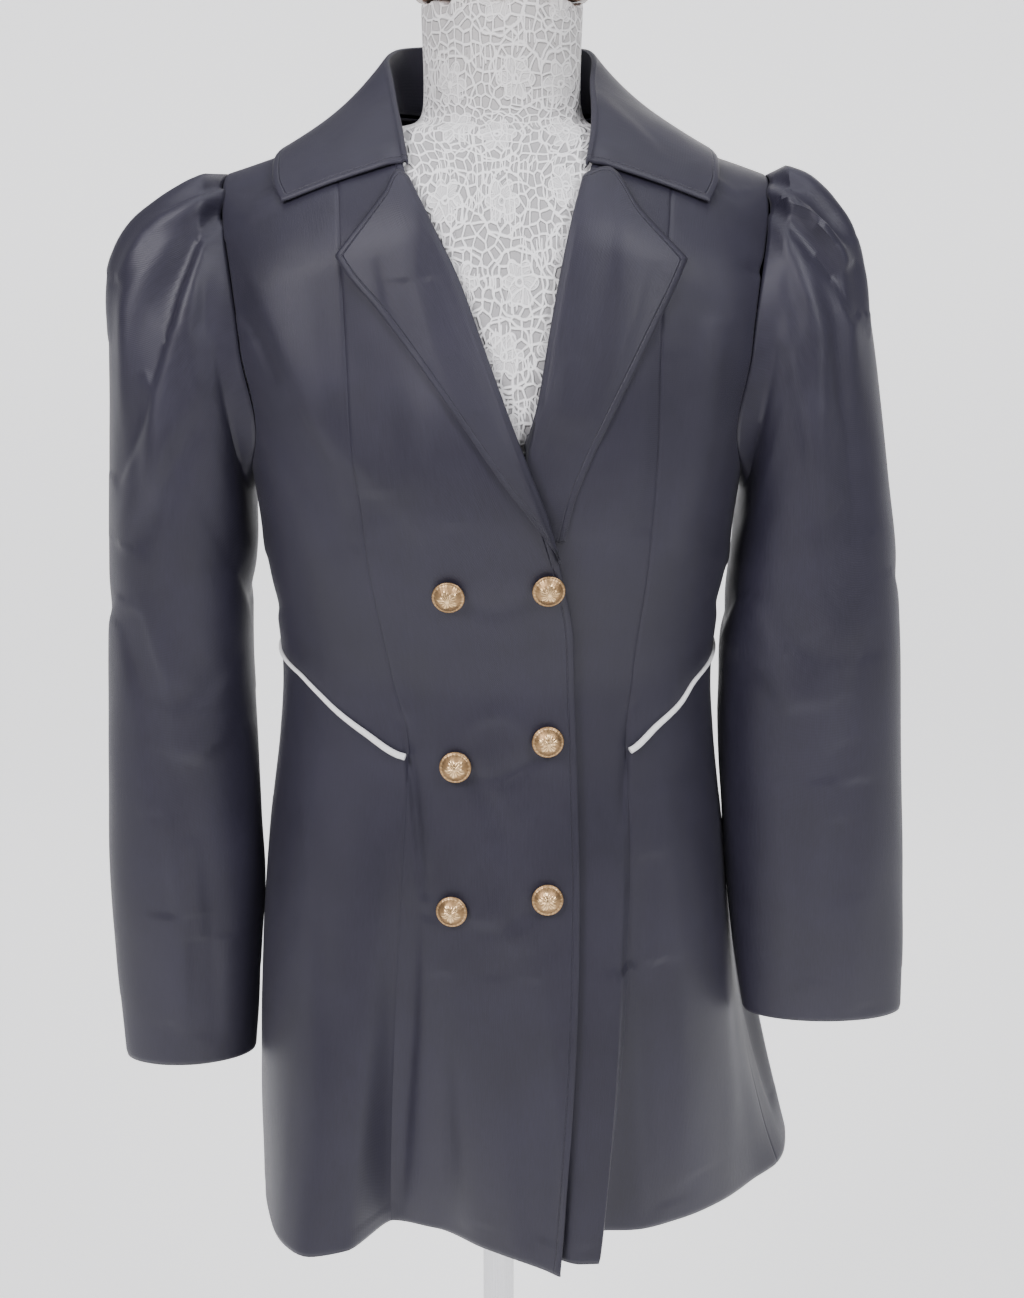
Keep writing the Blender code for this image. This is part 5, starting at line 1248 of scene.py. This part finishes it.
# Lapels, from the gorge (0) down to the break (1): roll edge and outer edge
Lapel = namedtuple("Lapel", "down rollX rollZ outerX outerZ")
lapelRight = [
    Lapel(0.00, -0.0575, 1.3560, -0.1048, 1.3038),
    Lapel(0.12, -0.0420, 1.3270, -0.0960, 1.2910),
    Lapel(0.28, -0.0245, 1.2925, -0.0770, 1.2700),
    Lapel(0.45, -0.0080, 1.2490, -0.0546, 1.2416),
    Lapel(0.62, 0.0070, 1.2080, -0.0313, 1.2105),
    Lapel(0.80, 0.0215, 1.1700, -0.0010, 1.1670),
    Lapel(0.92, 0.0335, 1.1390, 0.0210, 1.1370),
    Lapel(1.00, 0.0430, 1.1050, 0.0395, 1.1125),
]
lapelLeft = [
    Lapel(0.00, 0.0575, 1.3560, 0.1265, 1.3018),
    Lapel(0.12, 0.0500, 1.3290, 0.1165, 1.2800),
    Lapel(0.28, 0.0425, 1.2950, 0.1050, 1.2575),
    Lapel(0.45, 0.0350, 1.2550, 0.0900, 1.2275),
    Lapel(0.62, 0.0280, 1.2130, 0.0741, 1.1957),
    Lapel(0.80, 0.0195, 1.1740, 0.0620, 1.1690),
    Lapel(0.92, 0.0240, 1.1450, 0.0527, 1.1450),
    Lapel(1.00, 0.0350, 1.1180, 0.0463, 1.1170),
]

# Bend of a lapel's gorge: rise of its top edge across the lapel
Gorge = namedtuple("Gorge", "across rise")
gorgeRight = [Gorge(0.0, 0.0), Gorge(0.17, 0.0085), Gorge(0.306, 0.003), Gorge(1.0, 0.0)]
gorgeLeft = [Gorge(0.0, 0.0), Gorge(0.3, 0.0165), Gorge(0.54, 0.0058), Gorge(1.0, 0.0)]

# under is how far the lower lapel stays off the front; narrow and gorge are where it tapers and bends
lapel = {"under": 0.0024, "underFrom": 0.60, "underFull": 0.74, "narrow": 0.012, "gorge": 0.13,
         "cells": (44, 110), "slack": 0.4}


# point of a lapel: a distance from its roll, plus a share of the way to its outer edge
def lapelPoint(rows, gorge, down, run, share, out, lap):
    read = {field: smooth(rows, "down", field, down) for field in Lapel._fields}
    roll = Vector((read["rollX"], 0.0, read["rollZ"]))
    outer = Vector((read["outerX"], 0.0, read["outerZ"]))
    width = (outer - roll).length
    scale = min(1.0, width / lapel["narrow"])
    start = roll + (outer - roll) * (run * scale / width)
    place = start.lerp(outer, share)
    across = (place - roll).length / width
    place.z += smooth(gorge, "across", "rise", across) * ease(lapel["gorge"], 0.0, down)
    angle = angleAt(place.x, place.z)
    if lap:
        out += lapOut(angle, place.z)
    return bodyPoint(angle, place.z) + bodyNormal(angle, place.z) * out


# section of a lapel from under its roll: distance from the roll edge, share of the rest, height off the front
LapelSpot = namedtuple("LapelSpot", "at run share out")
lapelSection = [
    LapelSpot(0.00, 0.0018, 0.0, -0.0004), LapelSpot(0.05, 0.0004, 0.0, 0.0004),
    LapelSpot(0.10, 0.0, 0.0, 0.0018), LapelSpot(0.15, 0.0009, 0.0, 0.0034),
    LapelSpot(0.20, 0.0032, 0.0, 0.0045), LapelSpot(0.28, 0.0035, 0.10, 0.0056),
    LapelSpot(0.40, 0.0035, 0.24, 0.0060), LapelSpot(0.54, 0.0035, 0.42, 0.0057),
    LapelSpot(0.70, 0.0035, 0.61, 0.0051), LapelSpot(0.86, 0.0035, 0.81, 0.0045),
    LapelSpot(1.00, 0.0035, 1.0, 0.0040),
]
lapelCreases = {
    "front": [
        Crease(0.0012, 0.0100, [(-0.050, 1.330), (-0.052, 1.290), (-0.040, 1.250), (-0.020, 1.205)]),
        Crease(-0.0010, 0.0080, [(-0.076, 1.305), (-0.070, 1.275), (-0.052, 1.240)]),
        Crease(-0.0012, 0.0120, [(0.076, 1.330), (0.074, 1.290), (0.062, 1.240)]),
        Crease(0.0012, 0.0110, [(0.098, 1.300), (0.088, 1.262), (0.070, 1.215)]),
    ],
}
lapelCuts = {"lapelRight": ((0.085, 0.290), 0.012), "lapelLeft": ((0.107, 0.266), 0.015)}


# a lapel folded back from its roll; over says that its front laps the other
def buildLapel(name, node, rows, gorge, over):
    def place(across, down):
        run = smooth(lapelSection, "at", "run", across)
        share = smooth(lapelSection, "at", "share", across)
        flat = 0.0 if over else ease(lapel["underFrom"], lapel["underFull"], down)
        out = mix(smooth(lapelSection, "at", "out", across), lapel["under"], flat)
        return lapelPoint(rows, gorge, down, run, share, out, over)

    flat, area = lapelCuts[name]
    clothPiece(name, node, place, lapel["cells"], flat, area, lapelCreases, flip=over,
               edges="none free free none",
               slack=lapel["slack"], spread=(0.0, 0.0), stitched=("right", "top"))


# a tube along a list of centres, each with its outward direction and radius
def cordTube(name, stations, sides, cutWidth, material):
    shape = bmesh.new()
    cut = shape.loops.layers.uv.new("cut")
    bmesh.ops.create_grid(shape, x_segments=sides, y_segments=len(stations) - 1, size=0.5)
    run = 0.0
    runs = []
    for index, (centre, out, radius) in enumerate(stations):
        if index:
            run += (centre - stations[index - 1][0]).length
        runs.append(run)
    spots = [(vert.co.x + 0.5, round((vert.co.y + 0.5) * (len(stations) - 1))) for vert in shape.verts]
    for face in shape.faces:
        for loop in face.loops:
            across, index = spots[loop.vert.index]
            loop[cut].uv = (across * cutWidth, runs[index])
    for vert, (across, index) in zip(shape.verts, spots):
        centre, out, radius = stations[index]
        ahead = stations[min(index + 1, len(stations) - 1)][0] - stations[max(index - 1, 0)][0]
        side = ahead.normalized().cross(out)
        lean = 2 * math.pi * across
        vert.co = centre + (out * math.cos(lean) + side * math.sin(lean)) * radius
    bmesh.ops.remove_doubles(shape, verts=shape.verts, dist=cloth["closeUp"])
    ends = [edge for edge in shape.edges if edge.is_boundary]
    bmesh.ops.holes_fill(shape, edges=ends, sides=0)
    bmesh.ops.recalc_face_normals(shape, faces=shape.faces)
    return finish(name, shape, [material])


piping = {"radius": 0.0015, "frontRadius": 0.0024, "thinned": 0.3, "sink": 0.0006, "in": 0.4,
          "steps": 70, "sides": 14, "bias": 0.009}


# corded piping along the curved waist seam of the side panels
def buildPiping():
    paint = pipingPaint()
    for sign, side, table in ((-1.0, "right", princessRight), (1.0, "left", princessLeft)):
        front = lineEdge(table).waistAngle + sign * piping["in"]
        back = lineEdge(princessBack, mirror=sign < 0, behind=True).waistAngle - sign * piping["in"]
        stations = []
        for step in range(piping["steps"] + 1):
            share = step / piping["steps"]
            turn = mix(front, back, share)
            height = waistHeight(turn)
            out = bodyNormal(turn, height)
            radius = mix(piping["frontRadius"], piping["radius"], ease(0.0, piping["thinned"], share))
            stations.append((bodyPoint(turn, height) + out * (radius - piping["sink"]), out, radius))
        tube = cordTube("piping" + side.capitalize(), stations, piping["sides"], piping["bias"], paint)
        standFor(tube, "piping_" + side)
    print("waist piped")


Button = namedtuple("Button", "x height")
buttonPlaces = [
    Button(0.0350, 1.0860), Button(0.0351, 0.9730), Button(0.0366, 0.8590),
    Button(-0.0314, 1.0816), Button(-0.0280, 0.9548), Button(-0.0301, 0.8497),
]
ButtonSpot = namedtuple("ButtonSpot", "radius rise")
buttonProfile = [
    ButtonSpot(0.0, 0.0002), ButtonSpot(0.0036, 0.0004), ButtonSpot(0.0037, 0.0021),
    ButtonSpot(0.0098, 0.0025), ButtonSpot(0.0110, 0.0031), ButtonSpot(0.0113, 0.0038),
    ButtonSpot(0.0110, 0.0046), ButtonSpot(0.0103, 0.0049), ButtonSpot(0.0098, 0.0050),
    ButtonSpot(0.0092, 0.0058), ButtonSpot(0.0083, 0.0069), ButtonSpot(0.0074, 0.0077),
    ButtonSpot(0.0065, 0.0084), ButtonSpot(0.0056, 0.0089), ButtonSpot(0.0047, 0.0093),
    ButtonSpot(0.0038, 0.0096), ButtonSpot(0.0029, 0.0098), ButtonSpot(0.0020, 0.00995),
    ButtonSpot(0.0010, 0.0100), ButtonSpot(0.0, 0.0101),
]
buttonRelief = {
    "steps": 64, "sharp": 70.0, "from": 0.0044, "petals": 5, "reach": 0.0071, "edge": (0.0008, -0.0006),
    "height": 0.00055, "centre": (0.0020, 0.0012),
    "beads": 24, "beadRing": 0.0096, "beadWidth": 0.0016, "beadHeight": 0.00035, "turn": 1.1, "dark": 0.8,
}


# a surface of revolution about the upright axis, from points of (radius, rise)
def turned(profile, steps):
    shape = bmesh.new()
    chain = [shape.verts.new((radius, 0.0, rise)) for radius, rise in profile]
    line = [shape.edges.new(pair) for pair in zip(chain, chain[1:])]
    bmesh.ops.spin(shape, geom=chain + line, cent=(0, 0, 0), axis=(0, 0, 1), angle=2 * math.pi, steps=steps,
                   use_merge=True)
    bmesh.ops.remove_doubles(shape, verts=shape.verts, dist=cloth["closeUp"])
    bmesh.ops.recalc_face_normals(shape, faces=shape.faces)
    return shape


# raises the rosette and the beads on a button's dome, and marks its hollows
def chaseButton(shape, tilt):
    hollow = shape.verts.layers.float.new("hollow")
    shape.normal_update()
    look = buttonRelief
    for vert in shape.verts:
        if vert.co.z < look["from"]:
            continue
        radius = math.hypot(vert.co.x, vert.co.y)
        turn = math.atan2(vert.co.y, vert.co.x) + tilt
        bead = math.cos(turn * look["beads"]) * ease(look["beadWidth"], 0.0, abs(radius - look["beadRing"]))
        petal = abs(math.cos(turn * look["petals"] / 2))
        flower = ease(*look["edge"], radius - look["reach"] * (0.5 + 0.5 * petal))
        vein = 0.6 + 0.4 * math.cos(turn * look["petals"] * 3)
        centre = ease(*look["centre"], radius)
        rise = look["height"] * max(flower * vein, centre) + look["beadHeight"] * bead
        vert.co += vert.normal * rise
        vert[hollow] = min(max(1.0 - rise / look["height"], 0.0), 1.0) * look["dark"]


# domed gilt buttons: a beaded rim round a raised rosette, both plain ornament
def buildButtons():
    for number, spot in enumerate(buttonPlaces, start=1):
        shape = turned(buttonProfile, buttonRelief["steps"])
        chaseButton(shape, number * buttonRelief["turn"])
        angle = angleAt(spot.x, spot.height)
        out = bodyNormal(angle, spot.height)
        place = bodyPoint(angle, spot.height) + out * lapOut(angle, spot.height)
        facing = out.to_track_quat("Z", "Y").to_matrix()
        bmesh.ops.transform(shape, matrix=facing.to_4x4(), verts=shape.verts)
        bmesh.ops.translate(shape, vec=place, verts=shape.verts)
        button = finish("button" + str(number), shape, [gilt], buttonRelief["sharp"])
        standFor(button, "button_" + str(number))
    print("buttons sewn on")


form = {"merge": 0.00005, "flatEdge": 40, "flatShape": 60, "rounding": 2}


# lays the lace by the distance round the form and the distance up its side
def layLace(shape):
    girths = {}
    fronts = {}
    for vert in shape.verts:
        level = round(vert.co.z, 2)
        girths.setdefault(level, []).append(math.hypot(vert.co.x, vert.co.y))
        fronts[level] = max(fronts.get(level, 0.0), -vert.co.y)
    heights = sorted(girths)
    radii = [sum(girths[height]) / len(girths[height]) for height in heights]
    climbs = [0.0]
    for lower, upper in zip(heights, heights[1:]):
        climbs.append(climbs[-1] + math.hypot(upper - lower, fronts[upper] - fronts[lower]))
    cut = shape.loops.layers.uv.new("cut")
    for face in shape.faces:
        turns = [math.atan2(loop.vert.co.x, -loop.vert.co.y) for loop in face.loops]
        for loop, turn in zip(face.loops, turns):
            if max(turns) - min(turns) > math.pi and turn < 0:
                turn += 2 * math.pi
            height = loop.vert.co.z
            loop[cut].uv = (turn * np.interp(height, heights, radii), np.interp(height, heights, climbs))


# the form's torso and neck under white lace, smoothed from its solid
def buildForm():
    shape = bmesh.new()
    shape.from_mesh(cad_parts["form_torso"].data)
    bmesh.ops.remove_doubles(shape, verts=shape.verts, dist=form["merge"])
    bmesh.ops.join_triangles(shape, faces=shape.faces, angle_face_threshold=math.radians(form["flatEdge"]),
                             angle_shape_threshold=math.radians(form["flatShape"]))
    layLace(shape)
    torso = finish("formTorso", shape, [lace])
    rounder = torso.modifiers.new("rounding", "SUBSURF")
    rounder.levels = form["rounding"]
    rounder.render_levels = form["rounding"]
    standFor(torso, "form_torso")


stand = {
    "cap": [(0.0, 0.0), (0.0585, 0.0), (0.0602, 0.0015), (0.0610, 0.0045), (0.0606, 0.0082), (0.0592, 0.0104),
            (0.0540, 0.0120), (0.0440, 0.0172), (0.0300, 0.0216), (0.0140, 0.0236), (0.0, 0.0240)],
    "base": [(0.0, 0.0), (0.1590, 0.0), (0.1600, 0.0010), (0.1600, 0.0060), (0.1588, 0.0082),
             (0.1540, 0.0098), (0.1300, 0.0118), (0.0900, 0.0138), (0.0480, 0.0152), (0.0300, 0.0158),
             (0.0, 0.0158)],
    "pole": 0.0125, "poleEdge": 0.0008, "steps": 96, "sharp": 35.0,
}


# a turned piece of the stand in place of its solid
def turnedPiece(name, node, profile, place, material):
    shape = turned(profile, stand["steps"])
    bmesh.ops.translate(shape, vec=place, verts=shape.verts)
    standFor(finish(name, shape, [material], stand["sharp"]), node)


# wooden cap on the neck, steel pole and round enamelled base
def buildStand():
    capLow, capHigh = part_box("form_neck_cap")
    middle = ((capLow[0] + capHigh[0]) / 2, (capLow[1] + capHigh[1]) / 2, capLow[2])
    turnedPiece("neckCap", "form_neck_cap", stand["cap"], middle, woodPaint())
    poleLow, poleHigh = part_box("form_pole")
    tall = poleHigh[2] - poleLow[2]
    radius = stand["pole"]
    edge = stand["poleEdge"]
    profile = [(0.0, 0.0), (radius - edge, 0.0), (radius, edge), (radius, tall - edge), (radius - edge, tall),
               (0.0, tall)]
    turnedPiece("pole", "form_pole", profile, (0, 0, poleLow[2]), steelPaint())
    turnedPiece("base", "form_base", stand["base"], (0, 0, 0), enamelPaint())
    print("form and stand made")


buildBody()
buildSleeve("sleeveRight", "sleeve_right", sleeveRight, -1.0)
buildSleeve("sleeveLeft", "sleeve_left", sleeveLeft, 1.0)
print("sleeves set in")
buildLapel("lapelRight", "lapel_right", lapelRight, gorgeRight, True)
buildLapel("lapelLeft", "lapel_left", lapelLeft, gorgeLeft, False)
buildCollar()
buildPiping()
buildButtons()
buildForm()
buildStand()
for name, size in sorted(pieceSizes.items()):
    print("laid flat", name, "width, length and area", *size)


studio = {
    "floor": (0.85, 0.85, 0.86), "roughness": 0.7, "glow": 1.0, "sky": 0.23, "skyColour": (0.93, 0.92, 1.0),
    "width": 12.0, "length": 9.0, "front": 4.0, "bendFrom": 2.2, "bend": 1.2, "rows": 40,
    "below": 0.0005, "aim": (0.0, 0.0, 1.1),
}
# soft panels of light, in metres and watts
SoftLight = namedtuple("SoftLight", "name place size power colour")
softLights = [
    SoftLight("windowLeft", (-1.3, -1.6, 2.5), (0.8, 1.0), 60.0, (0.97, 0.95, 1.0)),
    SoftLight("windowRight", (1.35, -1.5, 2.5), (0.7, 0.9), 44.0, (0.95, 0.95, 1.0)),
    SoftLight("lowWarm", (0.5, -2.2, 0.4), (1.4, 0.8), 2.0, (1.0, 0.90, 0.82)),
    SoftLight("overhead", (0.0, 0.1, 2.7), (1.6, 1.2), 16.0, (0.95, 0.97, 1.0)),
    SoftLight("behind", (0.6, 2.0, 2.1), (1.6, 1.2), 14.0, (1.0, 0.98, 0.95)),
]
shot = {"place": (0.011, -1.35, 1.36), "down": 14.5, "lens": 51.47, "film": 36.0}


# pale floor that curves up into a backdrop
def buildStudio():
    shape = bmesh.new()
    bmesh.ops.create_grid(shape, x_segments=2, y_segments=studio["rows"], size=0.5)
    for vert in shape.verts:
        run = (vert.co.y + 0.5) * studio["length"] - studio["front"]
        past = max(run - studio["bendFrom"], 0.0)
        turn = min(past / studio["bend"], math.pi / 2)
        rest = max(past - studio["bend"] * math.pi / 2, 0.0)
        y = min(run, studio["bendFrom"]) + studio["bend"] * math.sin(turn)
        rise = studio["bend"] * (1 - math.cos(turn)) + rest - studio["below"]
        vert.co = (vert.co.x * studio["width"], y, rise)
    bmesh.ops.recalc_face_normals(shape, faces=shape.faces)
    pale = Paint("studioFloor", studio["roughness"], **{"Base Color": (*studio["floor"], 1.0),
                                                        "Emission Color": (1.0, 1.0, 1.0, 1.0),
                                                        "Emission Strength": studio["glow"]})
    finish("studioFloor", shape, [pale.material], 180.0)
    world = bpy.data.worlds.new("studio")
    world.use_nodes = True
    sky = world.node_tree.nodes["Background"]
    sky.inputs["Color"].default_value = (*studio["skyColour"], 1.0)
    sky.inputs["Strength"].default_value = studio["sky"]
    bpy.context.scene.world = world


# lights that face the chest
def buildLights():
    for panel in softLights:
        light = bpy.data.lights.new(panel.name, "AREA")
        light.shape = "RECTANGLE"
        light.size, light.size_y = panel.size
        light.energy = panel.power
        light.color = panel.colour
        lamp = bpy.data.objects.new(panel.name, light)
        lamp.location = panel.place
        lamp.rotation_euler = (Vector(panel.place) - Vector(studio["aim"])).to_track_quat("Z", "Y").to_euler()
        bpy.context.scene.collection.objects.link(lamp)


# a camera before the chest that looks a little down
def buildCamera():
    lens = bpy.data.cameras.new("camera")
    lens.sensor_fit = "VERTICAL"
    lens.sensor_height = shot["film"]
    lens.lens = shot["lens"]
    camera = bpy.data.objects.new("camera", lens)
    camera.location = shot["place"]
    camera.rotation_euler = (math.radians(90.0 - shot["down"]), 0.0, 0.0)
    bpy.context.scene.collection.objects.link(camera)
    bpy.context.scene.camera = camera


buildStudio()
buildLights()
buildCamera()
print("studio lit")
